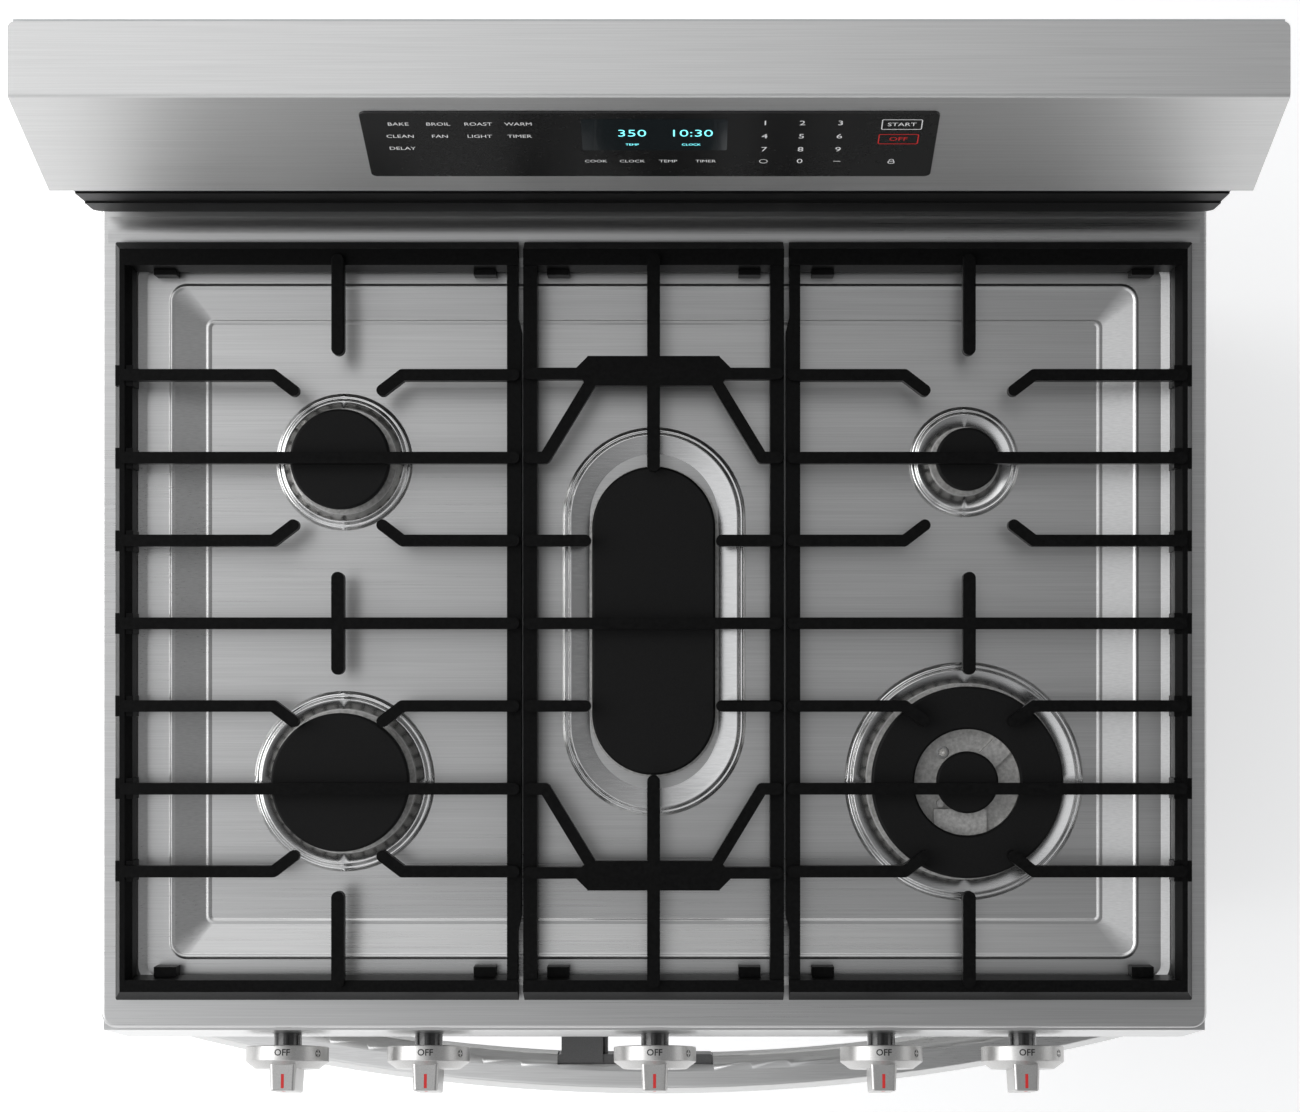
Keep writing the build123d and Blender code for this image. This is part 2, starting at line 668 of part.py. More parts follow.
with BuildPart() as oven_cavity:
    shell_z = (cavity_bottom_z - sheet, cavity_top_z + sheet)
    inside_z = (cavity_bottom_z, cavity_top_z)
    block((-cavity_out, cavity_out), (frame_back_y, cavity_back_y), shell_z)
    block((-cavity_half, cavity_half), (frame_back_y, cavity_rear_y), inside_z, Mode.SUBTRACT)
    for top in ledge_tops:
        both_sides((296, cavity_half), (-225, 225), (top - 6, top))
    both_sides((296, cavity_half), (-225, 225), (268, 273))
    disc(rearward(0, fan_z), 7, cavity_rear_y - 1, cavity_back_y + 1, Mode.SUBTRACT)
    disc(rearward(*lamp_spot), 26, cavity_rear_y - 1, cavity_back_y + 1, Mode.SUBTRACT)
    disc(rearward(-90, 253), 8.8, cavity_rear_y - 1, cavity_back_y + 1, Mode.SUBTRACT)
    disc(rearward(0, 759), 8.8, cavity_rear_y - 1, cavity_back_y + 1, Mode.SUBTRACT)
finish(oven_cavity, "oven_cavity")

with BuildPart() as oven_front_frame:
    through_y = (frame_front_y - 1, frame_back_y + 1)
    block((-374.5, 374.5), (frame_front_y, frame_back_y), (196, 822))
    block((-cavity_half, cavity_half), through_y, inside_z, Mode.SUBTRACT)
    both_sides((hinge_lugs_x - 5, hinge_lugs_x + 5), through_y, (221.5, 234.5), Mode.SUBTRACT)
finish(oven_front_frame, "oven_front_frame")

with BuildPart() as door_gasket:
    with BuildSketch(Plane.XZ.offset(-frame_front_y)):
        with Locations((0, (cavity_bottom_z + cavity_top_z) / 2)):
            RectangleRounded(2 * cavity_half + 14, cavity_top_z - cavity_bottom_z + 12, 12)
            RectangleRounded(2 * cavity_half + 2, cavity_top_z - cavity_bottom_z + 2, 7, mode=Mode.SUBTRACT)
    extrude(amount=2.2)
finish(door_gasket, "door_gasket")

with BuildPart() as oven_floor_panel:
    block((-304, 304), (-240, 238), (273, 275))
    with BuildSketch(Plane.XY.offset(275)):
        with GridLocations(540, 70, 2, 6):
            SlotOverall(46, 10, rotation=90)
    extrude(amount=-2, mode=Mode.SUBTRACT)
finish(oven_floor_panel, "oven_floor_panel")

with BuildPart() as bake_burner:
    pipe([(-90, 262, 253), (-90, -160, 253), (90, -160, 253), (90, 225, 253)], 60.0, 8.0)
    for x in (-90, 90):
        disc(upright(x, -60), 4, cavity_bottom_z, 247)
finish(bake_burner, "bake_burner")

with BuildPart() as broil_burner:
    block((-55, 55), (-160, 200), (750, 768))
    with BuildSketch(Plane.XY.offset(750)):
        with GridLocations(0, 24, 1, 13):
            SlotOverall(80, 8)
    extrude(amount=10, mode=Mode.SUBTRACT)
    both_sides((40, 50), (-140, -130), (768, cavity_top_z))
    both_sides((40, 50), (170, 180), (768, cavity_top_z))
    rod((0, 195, 759), (0, 262, 759), 8)
finish(broil_burner, "broil_burner")

fan_cover_y = 221.0
with BuildPart() as convection_cover:
    block((-140, 140), (fan_cover_y, cavity_rear_y), (fan_z - 140, fan_z + 140))
    fillet(convection_cover.edges().filter_by(Axis.Y), radius=24)
    block((-138.5, 138.5), (fan_cover_y + sheet, cavity_rear_y), (fan_z - 138.5, fan_z + 138.5), Mode.SUBTRACT)
    with BuildSketch(Plane.XZ.offset(-fan_cover_y)):
        with Locations((0, fan_z)):
            Circle(6)
            for ring, count in ((20, 8), (38, 14), (56, 20), (74, 26)):
                with PolarLocations(ring, count):
                    Circle(5)
    extrude(amount=-sheet, mode=Mode.SUBTRACT)
finish(convection_cover, "convection_cover")

with BuildPart() as convection_fan:
    disc(rearward(0, fan_z), 16, 227, 241)
    disc(rearward(0, fan_z), 80, 239.8, 241)
    with BuildSketch(Plane.XZ.offset(-241)):
        with Locations((0, fan_z)):
            with PolarLocations(47, 10):
                Rectangle(66, 1.6)
    extrude(amount=13)
    disc(rearward(0, fan_z), 4, 229, 300)
finish(convection_fan, "convection_fan")

with BuildPart() as convection_motor:
    disc(rearward(0, fan_z), 40, 262, 320)
    disc(rearward(0, fan_z), 12, 320, 326)
    block((-75, 75), (258, 262), (fan_z - 12, fan_z + 12))
    for x in (-65, 65):
        disc(rearward(x, fan_z), 5, cavity_back_y, 258)
    disc(rearward(0, fan_z), 4.06, 257, 305, Mode.SUBTRACT)
finish(convection_motor, "convection_motor")

with BuildPart() as oven_lamp:
    turned(rearward(*lamp_spot), [
        (0, 229), (12, 230.5), (20, 235), (24, cavity_rear_y - 2), (30, cavity_rear_y - 2),
        (30, cavity_rear_y), (22, cavity_rear_y), (22, 275), (12, 275), (12, 286), (0, 286),
    ])
finish(oven_lamp, "oven_lamp")

wrap = 12.0
with BuildPart() as oven_insulation:
    block((-cavity_out - wrap, cavity_out + wrap), (-243, 257), (shell_z[0] - wrap, shell_z[1] + wrap))
    block((-cavity_out, cavity_out), (-243, cavity_back_y), shell_z, Mode.SUBTRACT)
    disc(rearward(0, fan_z), 78, cavity_back_y - 1, 258, Mode.SUBTRACT)
    disc(rearward(*lamp_spot), 32, cavity_back_y - 1, 258, Mode.SUBTRACT)
    disc(rearward(-90, 253), 12, cavity_back_y - 1, 258, Mode.SUBTRACT)
    disc(rearward(0, 759), 12, cavity_back_y - 1, 258, Mode.SUBTRACT)
finish(oven_insulation, "oven_insulation")

rack_front_y, rack_rear_y = -205.0, 215.0
for label, ledge in (("oven_rack_upper", ledge_tops[3]), ("oven_rack_lower", ledge_tops[1])):
    rod_z = ledge + 3.3
    with BuildPart() as rack:
        for x in (-299, 299):
            rod((x, rack_front_y, rod_z), (x, rack_rear_y, rod_z), 3)
        for y in (rack_front_y + 3, -70, 75, rack_rear_y - 3):
            rod((-299, y, rod_z), (299, y, rod_z), 2.8)
        for number in range(-9, 10):
            x = number * 30
            rod((x, rack_front_y + 1, rod_z + 3.6), (x, rack_rear_y - 1, rod_z + 3.6), 1.8)
        # raised stop at the rear edge
        rod((-270, rack_rear_y - 3, rod_z + 20), (270, rack_rear_y - 3, rod_z + 20), 2.4)
        for x in (-270, 0, 270):
            rod((x, rack_rear_y - 3, rod_z), (x, rack_rear_y - 3, rod_z + 20), 2.0)
    finish(rack, label)

# ---------------------------------------------------------------- hinges
with BuildPart() as hinge_receivers:
    for side in (-1, 1):
        x = side * hinge_lugs_x
        with BuildSketch(Plane.YZ.offset(x - 4)):
            with Locations((hinge_y, hinge_z)):
                Circle(5.3)
            with Locations(((hinge_y - 215) / 2, hinge_z)):
                Rectangle(-215 - hinge_y, 10.6)
            with Locations((hinge_y, hinge_z)):
                Circle(3.05, mode=Mode.SUBTRACT)
        extrude(amount=8)
        block((x - 12, x + 12), (frame_back_y, -205), (214, 242))
finish(hinge_receivers, "hinge_receivers")

with BuildPart() as door_hinge_arms:
    for side in (-1, 1):
        x = side * hinge_lugs_x
        for cheek in (-1, 1):
            cheek_x = sorted((x + cheek * 4.2, x + cheek * 10))
            block(cheek_x, (door_front_y + sheet, -262.5), (door_bottom_z + sheet, 330))
        block((x - 4.2, x + 4.2), (door_front_y + sheet, -279), (250, 330))
        rod((x - 10, hinge_y, hinge_z), (x + 10, hinge_y, hinge_z), 3)
finish(door_hinge_arms, "door_hinge_arms")

# ---------------------------------------------------------------- door
slot_low, slot_high = hinge_lugs_x - 5.5, hinge_lugs_x + 5.5

with BuildPart() as door_outer_panel:
    block((-door_half, door_half), (door_front_y, door_join_y), (door_bottom_z, door_top_z))
    fillet(door_outer_panel.faces().sort_by(Axis.Y)[0].edges(), radius=1.4)
    hollow_y = (door_front_y + sheet, door_join_y)
    hollow_z = (door_bottom_z + sheet, door_top_z - sheet)
    block((sheet - door_half, door_half - sheet), hollow_y, hollow_z, Mode.SUBTRACT)
    with BuildSketch(Plane.XZ.offset(-door_front_y)):
        with Locations((0, 495)):
            RectangleRounded(490, 310, 12)
    extrude(amount=-sheet, mode=Mode.SUBTRACT)
    both_sides((slot_low, slot_high), hollow_y, (door_bottom_z, door_bottom_z + sheet), Mode.SUBTRACT)
    # air outlets along the top
    with BuildSketch(Plane.XY.offset(door_top_z)):
        with Locations((0, -270)):
            with GridLocations(60, 0, 9, 1):
                SlotOverall(40, 6)
    extrude(amount=-sheet, mode=Mode.SUBTRACT)
finish(door_outer_panel, "door_outer_panel")

with BuildPart() as door_outer_glass:
    block((-262, 262), (door_front_y + sheet, door_front_y + sheet + 4), (324, 666))
finish(door_outer_glass, "door_outer_glass")

with BuildPart() as door_inner_panel:
    block((-door_half, door_half), (door_join_y, door_rear_y), (door_inner_bottom_z, door_top_z))
    fillet(door_inner_panel.edges().filter_by(Axis.Y), radius=1.4)
    hollow_z = (door_inner_bottom_z + sheet, door_top_z - sheet)
    block((sheet - door_half, door_half - sheet), (door_join_y, door_rear_y - sheet), hollow_z, Mode.SUBTRACT)
    with BuildSketch(Plane.XZ.offset(-door_rear_y)):
        with Locations((0, 500)):
            RectangleRounded(430, 260, 20)
    extrude(amount=sheet, mode=Mode.SUBTRACT)
    both_sides((slot_low, slot_high), (door_join_y, door_rear_y), (door_bottom_z, 236), Mode.SUBTRACT)
finish(door_inner_panel, "door_inner_panel")

with BuildPart() as door_inner_glass:
    block((-235, 235), (door_rear_y - sheet - 4, door_rear_y - sheet), (350, 650))
finish(door_inner_glass, "door_inner_glass")

# The handle is a bow: its section is turned about a distant upright axis and cut flat on the door's face.
handle_centre_y = handle_front_y + handle_radius
handle_swing = asin(handle_half / handle_radius)
handle_inner = handle_radius - handle_depth
pocket_x = (-74.0, 42.0)
pocket_y = handle_front_y + handle_depth - 5.5
# corners of the section: across the bar from its rear face, depth below the top, radius of the rounding
handle_corners = [
    (0, 30, 2.0), (0, 7.0, 3.0), (7.5, 0, 6.0), (23.5, 5.5, 5.0), (handle_depth, 14.5, 2.5), (handle_depth, 30, 2.0),
]

with BuildPart() as door_handle_bar:
    section_plane = Plane(
        origin=(0, handle_centre_y, 0),
        x_dir=(-sin(handle_swing), -cos(handle_swing), 0),
        z_dir=(-cos(handle_swing), sin(handle_swing), 0),
    )
    with BuildSketch(section_plane) as bow:
        Polygon(*[(handle_inner + x, handle_top_z - down) for x, down, rounding in handle_corners], align=None)
        for x, down, rounding in handle_corners:
            corner = bow.vertices().sort_by_distance((handle_inner + x, handle_top_z - down))[0]
            fillet(corner, radius=rounding)
    revolve(axis=Axis((0, handle_centre_y, 0), (0, 0, 1)), revolution_arc=2 * degrees(handle_swing))
    block((-400, 400), (door_front_y, 0), (650, 800), Mode.SUBTRACT)
    block(pocket_x, (pocket_y, door_front_y), (handle_top_z - 22, handle_top_z + 5), Mode.SUBTRACT)
finish(door_handle_bar, "door_handle_bar")

with BuildPart() as door_handle_center_block:
    block(pocket_x, (pocket_y, pocket_y + 7.5), (handle_top_z - 22, handle_top_z - 3))
    fillet(door_handle_center_block.edges().filter_by(Axis.Z), radius=2.5)
    block((-71, -40), (pocket_y + 1.5, door_front_y), (handle_top_z - 20, handle_top_z - 2))
    block((-38.5, -36.5), (pocket_y + 7, door_front_y), (handle_top_z - 18, handle_top_z - 6))
    block((-40, -36.5), (pocket_y + 7, door_front_y), (handle_top_z - 18, handle_top_z - 10))
finish(door_handle_center_block, "door_handle_center_block")

# ---------------------------------------------------------------- drawer
with BuildPart() as drawer_front:
    block((-door_half, door_half), (door_front_y, drawer_join_y), (drawer_bottom_z, drawer_top_z))
    fillet(drawer_front.faces().sort_by(Axis.Y)[0].edges(), radius=1.4)
    hollow_z = (drawer_bottom_z + sheet, drawer_top_z - sheet)
    block((sheet - door_half, door_half - sheet), (door_front_y + sheet, drawer_join_y), hollow_z, Mode.SUBTRACT)
    # finger recess along the top edge
    block((-150, 150), (-283, -275), (drawer_top_z - sheet, drawer_top_z), Mode.SUBTRACT)
finish(drawer_front, "drawer_front")

drawer_half, drawer_floor_z, drawer_rim_z, drawer_rear_y = 318.0, 66.0, 190.0, 255.0
with BuildPart() as drawer_box:
    box_front_y = drawer_join_y + sheet
    block((-374, 374), (drawer_join_y, box_front_y), (drawer_floor_z - 3, drawer_rim_z + 10))
    block((-drawer_half, drawer_half), (box_front_y, drawer_rear_y), (drawer_floor_z, drawer_rim_z))
    inside = drawer_half - sheet
    inside_y = (box_front_y + sheet, drawer_rear_y - sheet)
    block((-inside, inside), inside_y, (drawer_floor_z + sheet, drawer_rim_z), Mode.SUBTRACT)
    # side runners
    both_sides((drawer_half, drawer_half + 5), (-260, 250), (100, 112))
finish(drawer_box, "drawer_box")

# ---------------------------------------------------------------- backguard
head_top_front = (303.3, overall_height)
head_bottom_front = (266.95, 1078.6)
shell_rear_y = back_y - 2.0
neck_y = 292.0
trim_top_z = 1076.0
slope = hypot(head_top_front[0] - head_bottom_front[0], head_top_front[1] - head_bottom_front[1])
rise = (head_top_front[1] - head_bottom_front[1]) / slope
lean = (head_top_front[0] - head_bottom_front[0]) / slope
face_normal = Vector(0, -rise, lean)
face_plane = Plane(origin=(0, *head_top_front), x_dir=(1, 0, 0), z_dir=face_normal)
glass_size = (347.0, 81.0)
glass_centre = (0, -17.6 - glass_size[1] / 2)

with BuildPart() as backguard_shell:
    profile = [
        (shell_rear_y, skirt_z), (shell_rear_y, overall_height), head_top_front, head_bottom_front,
        (269.6, trim_top_z), (neck_y, trim_top_z), (neck_y, skirt_z),
    ]
    prism_x(profile, -half_width, half_width)
    corners = backguard_shell.edges().filter_by(Axis.Z).group_by(Axis.Y)[-1]
    fillet(corners, radius=4)
    bend = backguard_shell.edges().filter_by(Axis.X).group_by(Axis.Z)[-1].sort_by(Axis.Y)[0]
    fillet(bend, radius=2.5)
    hollow_x(profile, -half_width, half_width, 4.0)
    open_z = (skirt_z + sheet, overall_height - sheet)
    block((4 - half_width, half_width - 4), (shell_rear_y - 3, shell_rear_y), open_z, Mode.SUBTRACT)
    with BuildSketch(face_plane):
        with Locations(glass_centre):
            Rectangle(326, 60)
    extrude(amount=-3, mode=Mode.SUBTRACT)
finish(backguard_shell, "backguard_shell")

with BuildPart() as control_glass:
    with BuildSketch(face_plane):
        with Locations(glass_centre):
            RectangleRounded(*glass_size, 4)
    extrude(amount=1.2)
    fillet(control_glass.faces().sort_by(Axis((0, 0, 0), tuple(face_normal)))[-1].edges(), radius=0.5)
finish(control_glass, "control_glass")

with BuildPart() as control_board:
    with BuildSketch(face_plane.offset(-13)):
        with Locations(glass_centre):
            Rectangle(320, 58)
    extrude(amount=1.6)
    with BuildSketch(face_plane.offset(-11.4)):
        with Locations((3, glass_centre[1] + 12)):
            Rectangle(90, 28)
        with Locations((-110, glass_centre[1]), (110, glass_centre[1])):
            Rectangle(24, 16)
    extrude(amount=11.0)
finish(control_board, "control_board")

trim_half = 375.0
trim_low_z = 950.6
with BuildPart() as backguard_trim:
    # three shallow steps, the lowest standing furthest forward
    for front, top in ((274.5, 985.6), (275.6, 1017.0), (276.7, trim_top_z)):
        with BuildSketch(Plane.XZ.offset(-neck_y)) as front_view:
            with Locations((0, (trim_low_z + top) / 2)):
                Rectangle(2 * trim_half, top - trim_low_z)
            fillet(front_view.vertices().group_by(Axis.Y)[0], radius=10)
        extrude(amount=neck_y - front)
    block((3 - trim_half, trim_half - 3), (279.2, neck_y), (955, 1073), Mode.SUBTRACT)
finish(backguard_trim, "backguard_trim")

with BuildPart() as backguard_rear_cover:
    block((-376, 376), (shell_rear_y, back_y), (skirt_z, overall_height - 3))
    with BuildSketch(Plane.XZ.offset(-back_y)):
        with Locations((0, 1130), (0, 980)):
            with GridLocations(70, 14, 8, 3):
                SlotOverall(52, 5)
    extrude(amount=2, mode=Mode.SUBTRACT)
finish(backguard_rear_cover, "backguard_rear_cover")

# ---------------------------------------------------------------- gas regulator
with BuildPart() as gas_regulator:
    block((236, 284), (290, 334), (112, 162))
    turned(upright(260, 312), [(0, 162), (24, 162), (24, 172), (14, 180), (8, 180), (8, 186), (0, 186)])
    disc(rearward(260, 137), 14, 334, 349)
    disc(rearward(260, 137), 9.15, 333, 350, Mode.SUBTRACT)
finish(gas_regulator, "gas_regulator")
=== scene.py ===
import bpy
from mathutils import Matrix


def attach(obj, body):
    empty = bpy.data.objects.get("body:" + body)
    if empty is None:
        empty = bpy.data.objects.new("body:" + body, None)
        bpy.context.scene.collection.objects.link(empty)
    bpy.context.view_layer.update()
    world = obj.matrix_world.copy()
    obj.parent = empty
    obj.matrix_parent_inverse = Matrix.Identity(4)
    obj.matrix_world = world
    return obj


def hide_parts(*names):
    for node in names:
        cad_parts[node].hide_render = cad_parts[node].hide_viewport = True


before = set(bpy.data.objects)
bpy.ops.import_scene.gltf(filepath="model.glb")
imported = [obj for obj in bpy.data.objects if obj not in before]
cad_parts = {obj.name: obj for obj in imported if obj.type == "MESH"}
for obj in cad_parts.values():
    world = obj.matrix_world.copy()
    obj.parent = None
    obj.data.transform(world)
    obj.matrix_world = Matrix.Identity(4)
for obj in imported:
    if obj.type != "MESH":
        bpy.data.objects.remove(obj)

"""Looks of a freestanding gas range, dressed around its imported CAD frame.

Metres, in the frame's axes: X to the cook's right, Y to the wall behind, Z up.
Each sub-assembly is a class that dresses its CAD nodes and adds the pieces the frame leaves out.
"""

import logging
from dataclasses import dataclass, field
from enum import Enum
from math import cos, pi, radians, sin
from typing import Iterable

import bpy
import numpy as np

log = logging.getLogger("gas_range")

Colour = tuple[float, float, float, float]
Shape = tuple[np.ndarray, np.ndarray]  # points (n, 2) or (n, 3), and faces as rows of indices
Span = tuple[float, float]
ARCH_STEPS = 9  # points across a bead, a ring or the gasket
SKIN = 0.00003  # how far a pressed line's feet lie under the sheet
PRINT_LIFT = 0.0001  # prints stand this far off the glass
UP = np.array([0.0, 0.0, 1.0])


def map_range(tree: bpy.types.NodeTree, value: bpy.types.NodeSocket, source: Span,
              target: Span) -> bpy.types.NodeSocket:
    """Maps a value from one range to another, clamped.

    Args:
        tree: The nodes it is added to.
        value: The socket to map.
        source: The range that is read.
        target: The range that it becomes.

    Returns:
        The mapped value's socket.
    """
    node = tree.nodes.new("ShaderNodeMapRange")
    for socket, number in zip(("From Min", "From Max", "To Min", "To Max"), source + target):
        node.inputs[socket].default_value = number
    tree.links.new(value, node.inputs["Value"])
    return node.outputs["Result"]


# ---------------------------------------------------------------- finishes
class Grain(Enum):
    """How a surface's texture is stretched: cycles per metre along X, Y and Z."""

    SIDE_TO_SIDE = (9.0, 1300.0, 1300.0)
    EVEN_FINE = (1400.0, 1400.0, 1400.0)
    EVEN_COARSE = (420.0, 420.0, 420.0)
    PEEL = (260.0, 260.0, 260.0)
    WOOL = (90.0, 90.0, 90.0)


class ShaderBoard:
    """A material under construction, with short calls for the nodes that the finishes share."""

    def __init__(self, name: str) -> None:
        """Starts a material of one Principled surface.

        Args:
            name: The material's name.
        """
        self.material = bpy.data.materials.new(name)
        self.material.use_nodes = True
        self.tree = self.material.node_tree
        self.nodes, self.links = self.tree.nodes, self.tree.links
        self.surface = self.nodes["Principled BSDF"]
        self.place = self.nodes.new("ShaderNodeTexCoord").outputs["Object"]

    def set(self, **values: object) -> None:
        """Sets sockets of the surface, named with underscores for spaces."""
        for socket, value in values.items():
            self.surface.inputs[socket.replace("_", " ")].default_value = value

    def noise(self, scale: tuple[float, float, float], detail: float = 3.0) -> bpy.types.NodeSocket:
        """Noise over Object coordinates.

        Args:
            scale: Cycles per metre along each axis.
            detail: Octaves of the noise.

        Returns:
            The socket of a value from 0 to 1.
        """
        mapping = self.nodes.new("ShaderNodeMapping")
        mapping.inputs["Scale"].default_value = scale
        noise = self.nodes.new("ShaderNodeTexNoise")
        noise.inputs["Scale"].default_value = 1.0
        noise.inputs["Detail"].default_value = detail
        self.links.new(self.place, mapping.inputs["Vector"])
        self.links.new(mapping.outputs["Vector"], noise.inputs["Vector"])
        return noise.outputs["Fac"]

    def cells(self, scale: float, output: str) -> bpy.types.NodeSocket:
        """Specks or crystals: the nearest point of a random scatter.

        Args:
            scale: Cells per metre.
            output: "Distance" to the nearest centre, or one random "Color" for each cell.

        Returns:
            The output's socket.
        """
        cells = self.nodes.new("ShaderNodeTexVoronoi")
        cells.inputs["Scale"].default_value = scale
        self.links.new(self.place, cells.inputs["Vector"])
        return cells.outputs[output]

    def ranged(self, value: bpy.types.NodeSocket, source: Span, target: Span) -> bpy.types.NodeSocket:
        """Maps a value from one range to another, as map_range does."""
        return map_range(self.tree, value, source, target)

    def blend(self, share: bpy.types.NodeSocket, low: Colour, high: Colour) -> bpy.types.NodeSocket:
        """Colour between two colours by a share from 0 to 1."""
        node = self.nodes.new("ShaderNodeMix")
        node.data_type = "RGBA"
        ends = {"A": low, "B": high}
        for socket in node.inputs:
            if socket.type == "RGBA":
                socket.default_value = ends[socket.name]
        self.links.new(share, node.inputs["Factor"])
        return next(out for out in node.outputs if out.type == "RGBA")

    def wire(self, value: bpy.types.NodeSocket, socket: str) -> None:
        """Links a value to a socket of the surface."""
        self.links.new(value, self.surface.inputs[socket])

    def relief(self, height: bpy.types.NodeSocket, depth: float) -> None:
        """Raises the surface's normals by a height map.

        Args:
            height: A value from 0 to 1.
            depth: The relief's depth in metres.
        """
        bump = self.nodes.new("ShaderNodeBump")
        bump.inputs["Strength"].default_value = 1.0
        bump.inputs["Distance"].default_value = depth
        self.links.new(height, bump.inputs["Height"])
        self.wire(bump.outputs["Normal"], "Normal")


@dataclass(frozen=True)
class Grained:
    """Opaque finish whose colour, gloss and relief follow one noise, with a slower one under it."""

    name: str
    dark: Colour
    light: Colour
    rough: Span
    grain: Grain = Grain.EVEN_FINE
    metallic: float = 0.0
    depth: float = 0.00001
    coat: float = 0.0
    drift: tuple[float, float, float] = (6.0, 6.0, 6.0)
    shine: float = 0.5

    def material(self) -> bpy.types.Material:
        """Builds the finish's material."""
        board = ShaderBoard(self.name)
        board.set(Metallic=self.metallic, Specular_IOR_Level=self.shine)
        board.set(Coat_Weight=self.coat, Coat_Roughness=0.08)
        fine = board.noise(self.grain.value)
        slow = board.noise(self.drift, detail=1.0)
        share = board.ranged(fine, (0.3, 0.7), (0.0, 1.0))
        board.wire(board.blend(share, self.dark, self.light), "Base Color")
        mixed = board.nodes.new("ShaderNodeMath")
        mixed.operation = "MULTIPLY_ADD"
        mixed.inputs[1].default_value = 0.6
        board.links.new(fine, mixed.inputs[0])
        board.links.new(board.ranged(slow, (0.35, 0.65), (0.0, 0.4)), mixed.inputs[2])
        board.wire(board.ranged(mixed.outputs["Value"], (0.2, 0.8), self.rough), "Roughness")
        board.relief(fine, self.depth)
        return board.material


@dataclass(frozen=True)
class Speckled:
    """Fired enamel: a dark glossy ground with small pale specks."""

    name: str
    ground: Colour
    speck: Colour
    cells: float = 260.0
    rough: float = 0.22

    def material(self) -> bpy.types.Material:
        """Builds the finish's material."""
        board = ShaderBoard(self.name)
        board.set(Roughness=self.rough, Coat_Weight=0.4, Coat_Roughness=0.1)
        specks = board.ranged(board.cells(self.cells, "Distance"), (0.13, 0.2), (1.0, 0.0))
        board.wire(board.blend(specks, self.ground, self.speck), "Base Color")
        board.relief(board.noise(Grain.PEEL.value, 1.0), 0.00004)
        return board.material


@dataclass(frozen=True)
class Spangled:
    """Galvanized sheet: flat crystals of zinc, each with its own tone."""

    name: str
    dark: Colour = (0.42, 0.43, 0.44, 1.0)
    light: Colour = (0.62, 0.63, 0.64, 1.0)
    cells: float = 110.0

    def material(self) -> bpy.types.Material:
        """Builds the finish's material."""
        board = ShaderBoard(self.name)
        board.set(Metallic=0.85)
        tones = board.cells(self.cells, "Color")
        board.wire(board.blend(tones, self.dark, self.light), "Base Color")
        board.wire(board.ranged(tones, (0.0, 1.0), (0.34, 0.5)), "Roughness")
        board.relief(board.noise(Grain.EVEN_FINE.value), 0.000006)
        return board.material


@dataclass(frozen=True)
class Pane:
    """Glass sheet with a faint waviness."""

    name: str
    tint: Colour
    through: float
    rough: float = 0.03

    def material(self) -> bpy.types.Material:
        """Builds the finish's material."""
        board = ShaderBoard(self.name)
        board.set(Roughness=self.rough, Transmission_Weight=self.through, IOR=1.5)
        board.set(Coat_Weight=0.3, Coat_Roughness=0.02)
        shade = board.noise((14.0, 14.0, 14.0), 1.0)
        board.wire(board.blend(shade, dimmed(self.tint, 0.88), self.tint), "Base Color")
        board.relief(board.noise((9.0, 9.0, 9.0), 0.0), 0.00002)
        return board.material


@dataclass(frozen=True)
class Ink:
    """Printed or lit marks; glow is the light they give, 0 for plain print."""

    name: str
    colour: Colour
    glow: float = 0.0
    rough: float = 0.45

    def material(self) -> bpy.types.Material:
        """Builds the finish's material."""
        board = ShaderBoard(self.name)
        board.set(Roughness=self.rough, Emission_Color=self.colour, Emission_Strength=self.glow)
        share = board.noise(Grain.EVEN_FINE.value, 2.0)
        board.wire(board.blend(share, dimmed(self.colour, 0.82), self.colour), "Base Color")
        return board.material


@dataclass(frozen=True)
class Braid:
    """Woven glass rope: fine slanted strands along the piece's own UV map."""

    name: str
    dark: Colour = (0.10, 0.095, 0.09, 1.0)
    light: Colour = (0.34, 0.325, 0.30, 1.0)

    def material(self) -> bpy.types.Material:
        """Builds the finish's material."""
        board = ShaderBoard(self.name)
        board.set(Roughness=0.85, Sheen_Weight=0.2)
        strands = board.nodes.new("ShaderNodeTexWave")
        strands.wave_type = "BANDS"
        strands.bands_direction = "DIAGONAL"
        strands.inputs["Scale"].default_value = 1.0
        strands.inputs["Distortion"].default_value = 1.5
        uv = board.nodes.new("ShaderNodeTexCoord").outputs["UV"]
        board.links.new(uv, strands.inputs["Vector"])
        board.wire(board.blend(strands.outputs["Fac"], self.dark, self.light), "Base Color")
        board.relief(strands.outputs["Fac"], 0.0002)
        return board.material


def grey(value: float) -> Colour:
    """A neutral colour of one value."""
    return (value, value, value, 1.0)


def dimmed(colour: Colour, share: float) -> Colour:
    """A colour with its channels times a share."""
    return tuple(share * channel for channel in colour[:3]) + (1.0,)


